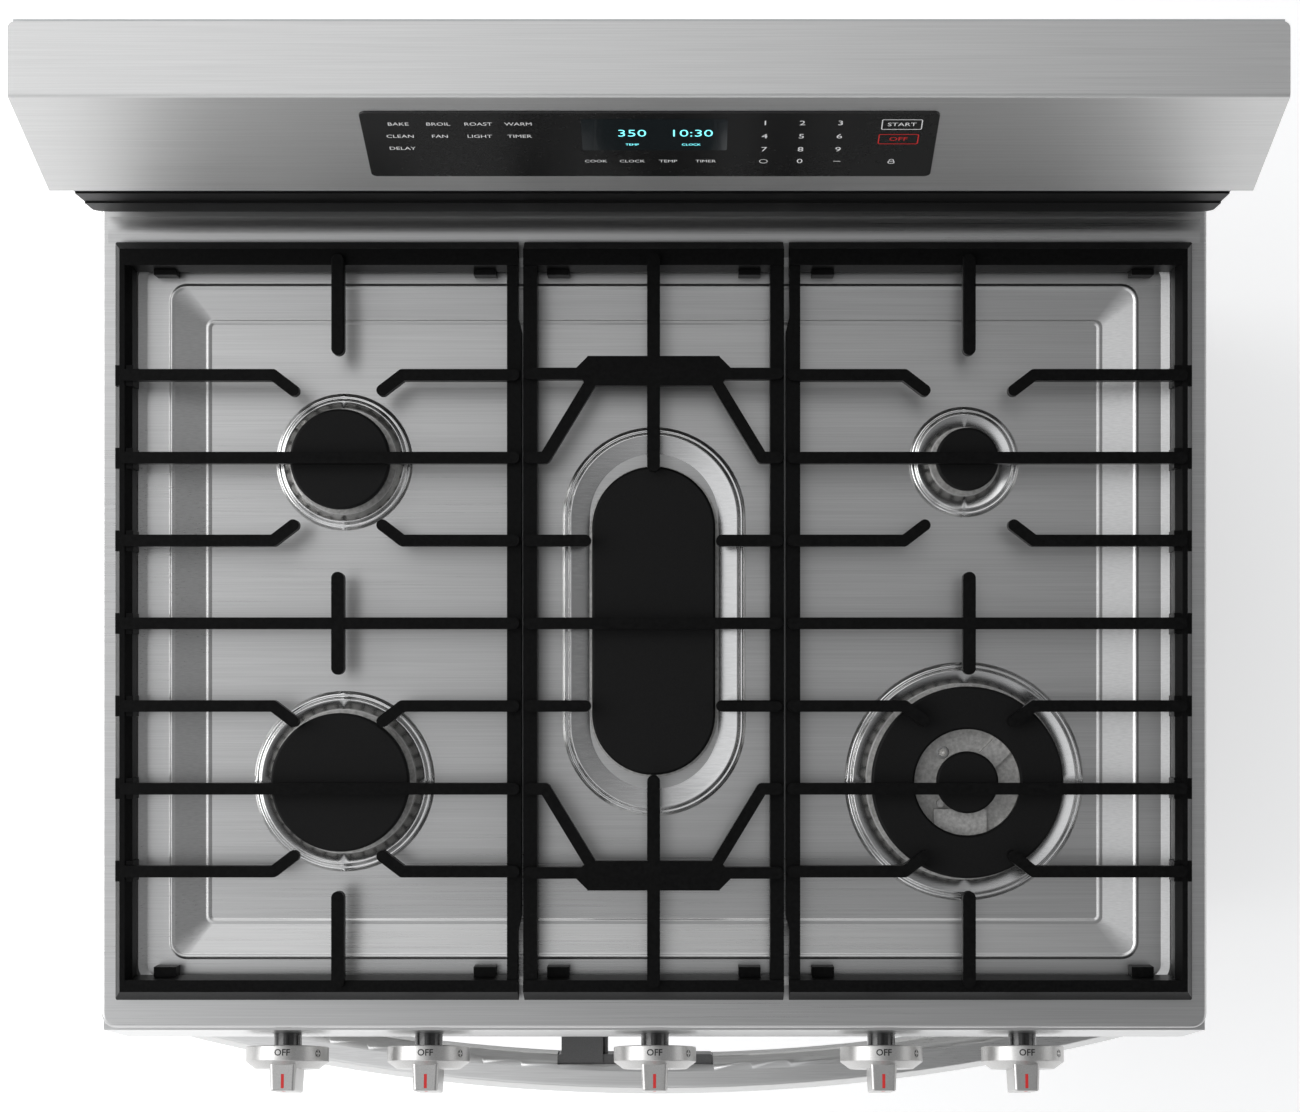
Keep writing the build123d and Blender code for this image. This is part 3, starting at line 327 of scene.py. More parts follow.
class Finish(Enum):
    """Every finish on the range, by what it is on."""

    STAINLESS = Grained("stainless_brushed", (0.59, 0.59, 0.585, 1), (0.67, 0.67, 0.665, 1), (0.30, 0.36),
                        Grain.SIDE_TO_SIDE, 1.0, 0.0000008, drift=(1.0, 3.0, 3.0))
    COOKTOP = Grained("stainless_cooktop", (0.58, 0.58, 0.575, 1), (0.67, 0.67, 0.665, 1), (0.27, 0.33),
                      Grain.SIDE_TO_SIDE, 1.0, 0.0000008, drift=(1.0, 3.0, 3.0))
    # Lighter copy of the cooktop's steel for the pressed boss rings: the lighter colour is a painted
    # highlight, the lower roughness is the rings' own
    RING = Grained("stainless_ring_painted_highlight", (0.70, 0.70, 0.695, 1), (0.78, 0.78, 0.775, 1), (0.16, 0.22),
                   Grain.SIDE_TO_SIDE, 1.0, 0.0000004, drift=(1.0, 3.0, 3.0))
    BACKGUARD = Grained("stainless_backguard", (0.62, 0.62, 0.615, 1), (0.70, 0.70, 0.695, 1), (0.40, 0.47),
                        Grain.SIDE_TO_SIDE, 1.0, 0.0000008, drift=(1.0, 3.0, 3.0))
    HANDLE = Grained("stainless_handle", (0.57, 0.57, 0.565, 1), (0.67, 0.67, 0.665, 1), (0.26, 0.32),
                     Grain.SIDE_TO_SIDE, 1.0, 0.0000006, drift=(1.0, 3.0, 3.0))
    GRATE = Grained("cast_iron_satin", grey(0.0022), grey(0.005), (0.34, 0.46),
                    Grain.EVEN_COARSE, 0.0, 0.00003, shine=0.07)
    CAP = Grained("cap_matt_enamel", grey(0.003), grey(0.0065), (0.46, 0.58),
                  Grain.EVEN_FINE, 0.0, 0.00002, shine=0.14)
    HEAD = Grained("burner_cast_alloy", (0.40, 0.395, 0.385, 1), (0.62, 0.615, 0.60, 1), (0.36, 0.55),
                   Grain.EVEN_COARSE, 0.9, 0.00008)
    CERAMIC = Grained("igniter_ceramic", (0.80, 0.78, 0.73, 1), (0.90, 0.89, 0.86, 1), (0.18, 0.3), coat=0.5)
    TUBE = Grained("gas_tube_plain", (0.42, 0.42, 0.41, 1), (0.56, 0.56, 0.55, 1), (0.3, 0.45), metallic=1.0)
    KNOB = Grained("knob_satin", (0.50, 0.495, 0.485, 1), (0.60, 0.595, 0.585, 1), (0.30, 0.38),
                   metallic=0.95)
    COLLAR = Grained("collar_black", grey(0.008), grey(0.014), (0.12, 0.2), coat=0.6)
    SIDE = Grained("side_paint_grey", grey(0.055), grey(0.075), (0.32, 0.42), Grain.PEEL, 0.0, 0.00006, 0.2)
    DRAWER = Grained("drawer_enamel", grey(0.08), grey(0.11), (0.35, 0.5), Grain.PEEL, 0.0, 0.00005)
    ENAMEL = Speckled("oven_enamel_blue_black", (0.012, 0.014, 0.024, 1), (0.28, 0.30, 0.36, 1))
    ZINC = Spangled("zinc_sheet")
    WIRE = Grained("rack_wire_bright", (0.62, 0.60, 0.57, 1), (0.78, 0.77, 0.76, 1), (0.12, 0.24),
                   metallic=1.0, drift=(30.0, 30.0, 30.0))
    MOTOR = Grained("plated_dull", (0.36, 0.36, 0.35, 1), (0.52, 0.52, 0.50, 1), (0.35, 0.5), metallic=0.9)
    DIE_CAST = Grained("die_cast_dull", (0.34, 0.34, 0.33, 1), (0.48, 0.48, 0.46, 1), (0.42, 0.6),
                       Grain.EVEN_COARSE, 0.85, 0.00005)
    WOOL = Grained("mineral_wool", (0.42, 0.34, 0.15, 1), (0.72, 0.64, 0.38, 1), (0.85, 1.0),
                   Grain.WOOL, 0.0, 0.002)
    BOARD = Grained("circuit_board", (0.008, 0.07, 0.03, 1), (0.015, 0.12, 0.05, 1), (0.3, 0.45),
                    Grain.EVEN_COARSE)
    TRIM = Grained("vent_trim_black", grey(0.003), grey(0.007), (0.4, 0.5),
                   Grain.EVEN_FINE, 0.0, 0.00002, shine=0.15)
    FOOT = Grained("foot_moulded_black", grey(0.014), grey(0.026), (0.5, 0.65),
                   Grain.EVEN_COARSE, 0.0, 0.00004)
    BRACKET = Grained("handle_bracket_grey", grey(0.085), grey(0.115), (0.32, 0.42),
                      Grain.EVEN_FINE, 0.0, 0.00002, 0.2)
    OVEN_GLASS = Pane("oven_glass_tinted", (0.10, 0.10, 0.105, 1), 0.9)
    INNER_GLASS = Pane("oven_glass_clear", (0.86, 0.90, 0.89, 1), 1.0)
    PANEL_GLASS = Grained("panel_glass_black", grey(0.006), grey(0.0085), (0.24, 0.30),
                          Grain.PEEL, depth=0.000002)
    LENS = Pane("lamp_lens_frosted", (0.9, 0.88, 0.82, 1), 0.7, 0.3)
    DISPLAY = Pane("display_window", (0.012, 0.016, 0.018, 1), 0.0, 0.12)
    # The white print glows faintly: a painted glow, since the print is no lamp
    WHITE_INK = Ink("ink_white_painted_glow", (0.80, 0.80, 0.80, 1), 0.15)
    # The red print glows faintly: a painted glow, since the print is no lamp
    RED_INK = Ink("ink_red_painted_glow", (0.62, 0.02, 0.02, 1), 0.1)
    DARK_INK = Ink("ink_dark", grey(0.012))
    DIGITS = Ink("digits_cyan", (0.18, 0.75, 0.80, 1), 1.6)
    GASKET = Braid("gasket_braid")

    def material(self) -> bpy.types.Material:
        """The finish's material, made once and then shared."""
        made = bpy.data.materials.get(self.value.name)
        return made or self.value.material()


# ---------------------------------------------------------------- meshes
def dress(finish: Finish, *nodes: str) -> None:
    """Gives CAD nodes a finish in place of their plain colour.

    Args:
        finish: The finish.
        nodes: Names of CAD nodes.
    """
    for name in nodes:
        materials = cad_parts[name].data.materials
        materials.clear()
        materials.append(finish.material())
        log.info("dressed %s in %s", name, finish.value.name)


def add_piece(name: str, shape: Shape, finish: Finish, body: str,
              smooth: bool = False) -> bpy.types.Object:
    """Makes a new piece that rides on a CAD body.

    Args:
        name: The piece's name.
        shape: Points (n, 3) in the frame's axes, and faces.
        finish: Its finish.
        body: The CAD body that it moves with.
        smooth: Whether its faces are shaded smooth.

    Returns:
        The new object.
    """
    points, faces = shape
    mesh = bpy.data.meshes.new(name)
    mesh.from_pydata(points.tolist(), [], faces.tolist())
    mesh.polygons.foreach_set("use_smooth", np.full(len(mesh.polygons), smooth))
    mesh.materials.append(finish.material())
    piece = bpy.data.objects.new(name, mesh)
    bpy.context.scene.collection.objects.link(piece)
    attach(piece, body)
    log.info("made %s, %d faces, on %s", name, len(mesh.polygons), body)
    return piece


def grid_faces(rows: int, columns: int, closed_rows: bool = False,
               closed_columns: bool = False) -> np.ndarray:
    """Quads between neighbours of a grid of points numbered row by row.

    Args:
        rows: Rows of points.
        columns: Points in a row.
        closed_rows: Whether the last row joins the first.
        closed_columns: Whether each row's last point joins its first.

    Returns:
        Quads as rows of four indices.
    """
    row = np.arange(rows if closed_rows else rows - 1)[:, None]
    column = np.arange(columns if closed_columns else columns - 1)[None, :]
    next_row, next_column = (row + 1) % rows, (column + 1) % columns
    corners = (row * columns + column, row * columns + next_column,
               next_row * columns + next_column, next_row * columns + column)
    full = [np.broadcast_to(corner, (row.size, column.size)) for corner in corners]
    return np.stack(full, axis=-1).reshape(-1, 4)


def at_height(flat: np.ndarray, height: float) -> np.ndarray:
    """A flat outline (n, 2) lifted to one height, as points (n, 3)."""
    return np.concatenate([flat, np.full((len(flat), 1), height)], axis=-1)


def band(loops: list[np.ndarray]) -> Shape:
    """Quads between closed loops (n, 3), each joined to the next."""
    points = np.stack(loops)
    return points.reshape(-1, 3), grid_faces(*points.shape[:2], closed_columns=True)


def joined(shapes: Iterable[Shape]) -> Shape:
    """Several shapes as one, with their faces as triangles."""
    points, faces, count = [], [], 0
    for spots, corners in shapes:
        points.append(spots)
        if corners.shape[1] == 4:
            corners = np.concatenate([corners[:, [0, 1, 2]], corners[:, [0, 2, 3]]])
        faces.append(corners + count)
        count += len(spots)
    return np.concatenate(points), np.concatenate(faces)


def shifted(shape: Shape, across: float, up: float) -> Shape:
    """A flat shape moved in its own plane."""
    return shape[0] + np.array([across, up]), shape[1]


def filled(outline: np.ndarray) -> Shape:
    """A closed outline round the origin as a fan of triangles."""
    count = len(outline)
    index = np.arange(count)
    fan = np.stack([np.full(count, count), index, (index + 1) % count], axis=-1)
    return np.concatenate([outline, [[0.0, 0.0]]]), fan


def circle(points: int) -> np.ndarray:
    """Unit circle: the cosine and sine of evenly spaced angles."""
    angle = np.linspace(0, 2 * pi, points, endpoint=False)
    return np.stack([np.cos(angle), np.sin(angle)], axis=-1)


def letters(text: str, height: float, weight: float = 0.0) -> Shape:
    """Flat outline of a word, centred on its plane's origin.

    Args:
        text: The word or digits.
        height: Height of its capitals in metres.
        weight: How much each stroke is thickened, as a share of the height.

    Returns:
        Points (n, 2) and triangles.
    """
    capital_share = 0.7  # height of a capital per unit of the font's size
    curve = bpy.data.curves.new("word", "FONT")
    curve.body = text
    curve.size = height / capital_share
    curve.offset = weight * height
    curve.align_x, curve.align_y = "CENTER", "CENTER"
    curve.resolution_u = 3
    holder = bpy.data.objects.new("word", curve)
    mesh = bpy.data.meshes.new_from_object(holder)
    mesh.calc_loop_triangles()
    points = np.zeros(len(mesh.vertices) * 3)
    mesh.vertices.foreach_get("co", points)
    faces = np.zeros(len(mesh.loop_triangles) * 3, dtype=int)
    mesh.loop_triangles.foreach_get("vertices", faces)
    bpy.data.objects.remove(holder)
    bpy.data.curves.remove(curve)
    bpy.data.meshes.remove(mesh)
    return points.reshape(-1, 3)[:, :2], faces.reshape(-1, 3)


def hoop(inner: np.ndarray, outer: np.ndarray) -> Shape:
    """Flat band between two closed outlines with the same number of points, outer and inner in turn."""
    return np.concatenate([outer, inner]), grid_faces(2, len(inner), closed_columns=True)


def rounded_outline(width: float, height: float, corner: float, steps: int = 6) -> np.ndarray:
    """Closed outline of a rounded rectangle, anticlockwise, centred on its plane's origin.

    Each corner is a quarter circle: its centre plus corner times the cosine and sine of an angle.

    Args:
        width: Full width.
        height: Full height.
        corner: Corner radius.
        steps: Points in a corner.

    Returns:
        Points (4 * steps, 2).
    """
    angle = np.linspace(0, pi / 2, steps)[None, :] + np.arange(4)[:, None] * pi / 2
    sign = np.array([[1, 1], [-1, 1], [-1, -1], [1, -1]])
    centre = sign * np.array([width / 2 - corner, height / 2 - corner])
    turn = np.stack([np.cos(angle), np.sin(angle)], axis=-1)
    return (centre[:, None, :] + corner * turn).reshape(-1, 2)


def frame_line(width: float, height: float, line: float) -> Shape:
    """Outlined rectangle with slightly rounded corners and a line of one width."""
    inner = rounded_outline(width - 2 * line, height - 2 * line, line)
    return hoop(inner, rounded_outline(width, height, 2 * line))


def ring_mark(radius: float, line: float) -> Shape:
    """Small printed circle: two circles joined by a band."""
    turn = circle(24)
    return hoop((radius - line) * turn, radius * turn)


def bar_mark(width: float, height: float) -> Shape:
    """Filled rectangle of a flat mark."""
    half = np.array([width / 2, height / 2])
    return np.array([[-1, -1], [1, -1], [1, 1], [-1, 1]]) * half, np.array([[0, 1, 2, 3]])


@dataclass(frozen=True)
class Plate:
    """A plane in space that flat marks are laid on."""

    origin: np.ndarray
    right: np.ndarray
    up: np.ndarray

    def lay(self, shape: Shape, lift: float) -> Shape:
        """Places a flat shape: origin + across * right + up * up + lift * normal.

        Args:
            shape: Points (n, 2) and faces.
            lift: Height above the plane.

        Returns:
            Points (n, 3) and the same faces.
        """
        flat, faces = shape
        middle = self.origin + lift * np.cross(self.right, self.up)
        return middle + flat[:, :1] * self.right + flat[:, 1:] * self.up, faces


def turned_shape(profile: np.ndarray, centre: np.ndarray, axis: np.ndarray, points: int = 32) -> Shape:
    """Profile turned about an axis, with side and other at right angles to it.

    point = centre + height * axis + radius * (cos a * side + sin a * other)

    Args:
        profile: Rows of (radius, height), from the outside bottom to the middle of the top.
        centre: The axis's start.
        axis: The axis's unit direction.
        points: Points round the axis.

    Returns:
        Points and quads; the faces look outwards.
    """
    side = np.cross(axis, UP if abs(axis[2]) < 0.9 else [1.0, 0.0, 0.0])
    side /= np.linalg.norm(side)
    other = np.cross(axis, side)
    way = circle(points)
    turn = way[:, :1] * side + way[:, 1:] * other
    spots = centre + profile[:, 1, None, None] * axis + profile[:, 0, None, None] * turn[None, :, :]
    return spots.reshape(-1, 3), grid_faces(len(profile), points, closed_columns=True)


# ---------------------------------------------------------------- cooktop
@dataclass
class Cooktop:
    """Pan, burners and grates."""

    body: str = "range_body"
    bead_width: float = 0.0046
    bead_rise: float = 0.0006
    bead_corner: float = 0.0012  # least corner radius
    slope: float = 0.1837  # fall of the recess's sides, per unit inwards
    # Each line's width, depth, corner and height
    rim_line: tuple[float, float, float, float] = (0.6600, 0.4585, 0.0100, 0.9125)
    foot_line: tuple[float, float, float, float] = (0.6110, 0.4110, 0.0040, 0.9080)
    pan_floor: float = 0.9080
    # Each boss's middle, half width and half length, and its dish's inset
    bosses: tuple[tuple[float, float, float, float, float], ...] = (
        (-0.2125, 0.1095, 0.0470, 0.0470, 0.0107), (-0.2125, -0.1095, 0.0620, 0.0620, 0.0127),
        (0.2125, 0.1095, 0.0380, 0.0380, 0.0144), (0.2125, -0.1095, 0.0820, 0.0820, 0.0147),
        (0.0, 0.0, 0.06285, 0.1335, 0.0188))
    boss_inset: tuple[float, ...] = (0.0, 0.0012, 0.0036, 0.0050)
    boss_height: tuple[float, ...] = (0.0, 0.0014, 0.0019, 0.0035)
    boss_bead: tuple[float, float, float] = (0.0003, 0.0045, 0.0009)  # from and to inset, rise
    lip_inset: tuple[float, ...] = (0.0047, 0.0049, 0.0053, 0.0058, 0.0064)
    lip_height: tuple[float, ...] = (0.0033, 0.0044, 0.0050, 0.0052, 0.0051)
    dish_foot: float = 0.0036
    corner_steps: int = 24
    # Posts of three burners: middle and cap radius
    posts: tuple[tuple[float, float, float], ...] = (
        (-0.2125, 0.1095, 0.0340), (-0.2125, -0.1095, 0.0470), (0.2125, 0.1095, 0.0213))
    post_inset: float = 0.003
    post_top: float = 0.925

    def build(self) -> None:
        """Dresses the pan, the burners and the grates, and adds the small fixings."""
        dress(Finish.COOKTOP, "cooktop_pan")
        dress(Finish.HEAD, "burner_heads")
        caps = ("left_rear", "left_front", "right_rear", "center", "right_front_ring", "right_front_inner")
        dress(Finish.CAP, *[f"burner_cap_{place}" for place in caps])
        dress(Finish.CERAMIC, "ignition_electrodes")
        dress(Finish.GRATE, "grate_left", "grate_center", "grate_right")
        self.add_igniter_tips()
        self.add_beads()
        self.add_boss_rings()

    def add_boss_rings(self) -> None:
        """Rolled ring on the shoulder of each burner's boss, with a shallow dish inside it.

        The profile follows the boss's outline at an inset s from its foot. The ring stands
        rise * cos(pi * (s - middle) / width)**2 above the boss's own steps, and the dish is a
        rounded lip that falls in a straight line to the burner.
        """
        near, far, rise = self.boss_bead
        ring = np.linspace(near, far, ARCH_STEPS)
        swell = rise * np.cos(pi * ((ring - near) / (far - near) - 0.5)) ** 2
        ring_height = np.interp(ring, self.boss_inset, self.boss_height) + swell - SKIN
        rings = []
        for x, y, half_width, half_length, inner in self.bosses:
            slope = np.linspace(self.lip_inset[-1], inner, 6)[1:]
            fall = np.linspace(self.lip_height[-1], self.dish_foot, 6)[1:]
            insets = np.concatenate([ring, self.lip_inset, slope])
            heights = self.pan_floor + np.concatenate([ring_height, self.lip_height, fall])
            loops = []
            for inset, level in zip(insets, heights):
                across, along = half_width - inset, half_length - inset
                flat = rounded_outline(2 * across, 2 * along, across, self.corner_steps)
                loops.append(at_height(flat + np.array([x, y]), level))
            rings.append(band(loops))
        # The rings and dishes take the lighter steel: a painted highlight on the pressed sheet
        add_piece("boss_rings", joined(rings), Finish.RING, self.body, smooth=True)

    def add_beads(self) -> None:
        """Pressed beads along the top and the foot of the recess's sloped walls.

        Each bead follows a rounded rectangle. At a distance d out from it the bead stands
        rise * cos(pi * d / width)**2 above the pan, which is flat on one side of the line and
        sloped on the other.
        """
        beads = []
        reach = self.bead_width / 2
        for (width, depth, corner, height), sloped_part in ((self.rim_line, min), (self.foot_line, max)):
            loops = []
            for away in np.linspace(-reach, reach, ARCH_STEPS):
                bend = max(corner + away, self.bead_corner)
                flat = rounded_outline(width + 2 * away, depth + 2 * away, bend, 8)
                pan = height + self.slope * sloped_part(away, 0.0)
                rise = self.bead_rise * np.cos(pi * away / self.bead_width) ** 2
                loops.append(at_height(flat, pan + rise - SKIN))
            points, faces = band(loops)
            beads.append((points, faces[:, ::-1]))
        add_piece("recess_beads", joined(beads), Finish.COOKTOP, self.body, smooth=True)

    def add_igniter_tips(self) -> None:
        """Steel spark tips above the ceramic posts: thin domed pins.

        Each tip is a profile turned about an upright axis through its post.
        """
        profile = np.array([[0.0006, 0.0], [0.0006, 0.0014], [0.00045, 0.0019], [0.0, 0.0021]])
        tips = []
        for x, y, cap in self.posts:
            reach = (cap - self.post_inset) * sin(radians(45))
            tips.append(turned_shape(profile, np.array([x - reach, y + reach, self.post_top]), UP, 10))
        add_piece("igniter_tips", joined(tips), Finish.TUBE, self.body, smooth=True)


# ---------------------------------------------------------------- control panel and knobs
@dataclass
class Knobs:
    """Front control panel, its five knobs and the marks printed on them."""

    places: dict[str, float] = field(default_factory=lambda: {
        "left_outer": -0.259, "left_inner": -0.1595, "middle": 0.0,
        "right_inner": 0.1595, "right_outer": 0.259})
    face: Span = (-0.2897, 0.851)
    tilt: float = 9.38
    rim: float = 0.029
    rim_lift: float = 0.00006  # of the print off the skirt
    rim_mark_depth: float = 0.0143
    blade_top: float = 0.02475
    blade_taper: float = 1.0 / 21.0
    blade_start: float = 0.0195
    blade_front: float = 0.0405
    pointer: Span = (0.0288, 0.0386)
    pointer_width: float = 0.0021
    front_mark: Span = (0.0165, 0.012)  # middle above the axis, and length
    sign_angle: float = 0.95  # of the burner sign, from the top towards the right

    def build(self) -> None:
        """Dresses panel, stems and knobs, and prints each knob's marks."""
        dress(Finish.STAINLESS, "control_panel")
        for place, x in self.places.items():
            dress(Finish.KNOB, f"knob_{place}")
            dress(Finish.COLLAR, f"valve_stem_{place}")
            self.mark(place, x)

    def axes(self) -> tuple[np.ndarray, np.ndarray, np.ndarray]:
        """Unit directions to the right, up the panel and out of it."""
        lean = radians(self.tilt)
        up, out = np.array([0, sin(lean), cos(lean)]), np.array([0, -cos(lean), sin(lean)])
        return np.array([1.0, 0, 0]), up, out

    def on_rim(self, shape: Shape, x: float, angle: float) -> Shape:
        """Wraps a flat mark round the skirt: across becomes an arc, and up runs to the panel.

        Args:
            shape: The flat mark.
            x: The knob's place.
            angle: Where the mark's middle lies, from the top towards the right.

        Returns:
            The wrapped mark.
        """
        right, up, out = self.axes()
        flat, faces = shape
        turn = angle + flat[:, :1] / self.rim
        radius = self.rim + self.rim_lift
        spots = np.array([x, *self.face]) + radius * (np.sin(turn) * right + np.cos(turn) * up)
        return spots + (self.rim_mark_depth - flat[:, 1:]) * out, faces

    def mark(self, place: str, x: float) -> None:
        """Prints the pointer, the word at the top of the skirt and a burner sign beside it.

        Args:
            place: The knob's name.
            x: The knob's place.
        """
        right, up, out = self.axes()
        body = f"turning_knob_{place}"
        centre = np.array([x, *self.face])
        start, end = self.pointer
        level = self.blade_top - (start - self.blade_start) * self.blade_taper
        slope = out - self.blade_taper * up
        slope /= np.linalg.norm(slope)
        length = end - start
        middle, front_length = self.front_mark
        blade = Plate(centre + level * up + start * out + slope * length / 2, right, -slope)
        front = Plate(centre + middle * up + self.blade_front * out, right, up)
        marks = [blade.lay(bar_mark(self.pointer_width, length), 0.00008),
                 front.lay(bar_mark(self.pointer_width, front_length), 0.00005)]
        # The red pointer print carries a faint painted glow
        add_piece(f"pointer_{place}", joined(marks), Finish.RED_INK, body)
        dot, apart = filled(0.0006 * circle(16)), (-0.0011, 0.0011)
        dots = [shifted(dot, across, lift) for across in apart for lift in apart]
        sign = [self.on_rim(shape, x, self.sign_angle) for shape in [ring_mark(0.0026, 0.0004), *dots]]
        word = self.on_rim(letters("OFF", 0.0044, 0.03), x, 0.0)
        add_piece(f"rim_print_{place}", joined([word, *sign]), Finish.DARK_INK, body)


# ---------------------------------------------------------------- backguard
@dataclass
class Backguard:
    """Tilted control head behind the cooktop, with its printed glass."""

    body: str = "range_body"
    slot: str = "panel_glass"
    top_edge: Span = (0.3033, 1.193)
    slope: Span = (0.3028, 0.9530)
    glass_middle: float = 0.0581
    glass_thickness: float = 0.0012
    display: tuple[float, float, float, float] = (0.0028, 0.0133, 0.0880, 0.0390)
    digit_height: float = 0.0085
    digit_weight: float = -0.012
    caption_height: float = 0.0024
    print_height: float = 0.0038
    field: Span = (0.0245, 0.0125)  # size of the START and OFF frames
    columns: tuple[float, ...] = (0.0694, 0.0917, 0.1146)  # of the keypad
    lines: tuple[float, ...] = (0.0279, 0.0114, -0.0051, -0.0203)

    def build(self) -> None:
        """Dresses the sheet metal and the glass, and prints the legends."""
        dress(Finish.BACKGUARD, "backguard_shell")
        dress(Finish.TRIM, "backguard_trim")
        dress(Finish.ZINC, "backguard_rear_cover")
        dress(Finish.PANEL_GLASS, "control_glass")
        dress(Finish.BOARD, "control_board")
        self.add_display()
        self.add_legends()

    def plate(self) -> Plate:
        """The glass's outer face, with its origin at the glass's middle."""
        y, z = self.top_edge
        rise_y, rise_z = self.slope
        down, out = self.glass_middle, self.glass_thickness
        middle = np.array([0.0, y - down * rise_y - out * rise_z, z - down * rise_z + out * rise_y])
        return Plate(middle, np.array([1.0, 0.0, 0.0]), np.array([0.0, rise_y, rise_z]))

    def print_on(self, name: str, marks: Iterable[Shape], finish: Finish, lift: float = PRINT_LIFT) -> None:
        """Lays flat marks on the glass as one piece.

        Args:
            name: The piece's name.
            marks: Flat shapes in the glass's plane.
            finish: Their finish.
            lift: How far they stand off the glass.
        """
        add_piece(name, self.plate().lay(joined(marks), lift), finish, self.body)

    def add_display(self) -> None:
        """Darker display window, with the clock and the oven's setting in lit digits."""
        across, up, width, height = self.display
        window = shifted(filled(rounded_outline(width, height, 0.0015)), across, up)
        self.print_on("display_window", [window], Finish.DISPLAY, 0.00004)
        digits = [shifted(letters(text, self.digit_height, self.digit_weight), x, 0.0150)
                  for text, x in (("350", -0.0109), ("10:30", 0.0250))]
        words = [shifted(letters(text, self.caption_height), x, 0.0010)
                 for text, x in (("TEMP", -0.0109), ("CLOCK", 0.0250))]
        self.print_on("display_digits", digits + words, Finish.DIGITS)

    def add_legends(self) -> None:
        """White words and digits beside their touch fields, the START frame, and the OFF frame in red."""
        size, columns, lines = self.print_height, self.columns, self.lines
        rows = {
            0.0266: ("BAKE", "BROIL", "ROAST", "WARM"),
            0.0114: ("CLEAN", "FAN", "LIGHT", "TIMER"),
            -0.0038: ("DELAY",),
        }
        marks = [shifted(letters(text, size), x, row)
                 for row, words in rows.items() for text, x in zip(words, (-0.151, -0.127, -0.103, -0.0788))]
        under = {"COOK": -0.0336, "CLOCK": -0.0113, "TEMP": 0.0109, "TIMER": 0.0339}
        marks += [shifted(letters(text, size * 0.85), x, lines[3]) for text, x in under.items()]
        marks += [shifted(letters(key, size * 1.45), columns[number % 3], lines[number // 3])
                  for number, key in enumerate("123456789")]
        marks.append(shifted(letters("0", size * 1.45), columns[1], lines[3]))
        marks.append(shifted(ring_mark(0.0026, 0.0005), columns[0], lines[3]))
        marks.append(shifted(bar_mark(0.0044, 0.0006), columns[2], lines[3]))
        marks += [shifted(shape, 0.1515, 0.0262)
                  for shape in (frame_line(*self.field, 0.0006), letters("START", size * 1.1))]
        marks.append(shifted(frame_line(0.0042, 0.0034, 0.0006), 0.1480, -0.0215))
        marks.append(shifted(ring_mark(0.0016, 0.0005), 0.1480, -0.0190))
        # The white legends carry a faint painted glow
        self.print_on("legend_white", marks, Finish.WHITE_INK)
        stop = [shifted(shape, 0.1505, 0.0080)
                for shape in (frame_line(*self.field, 0.0007), letters("OFF", size * 1.2))]
        # The red OFF legend carries a faint painted glow
        self.print_on("legend_red", stop, Finish.RED_INK)


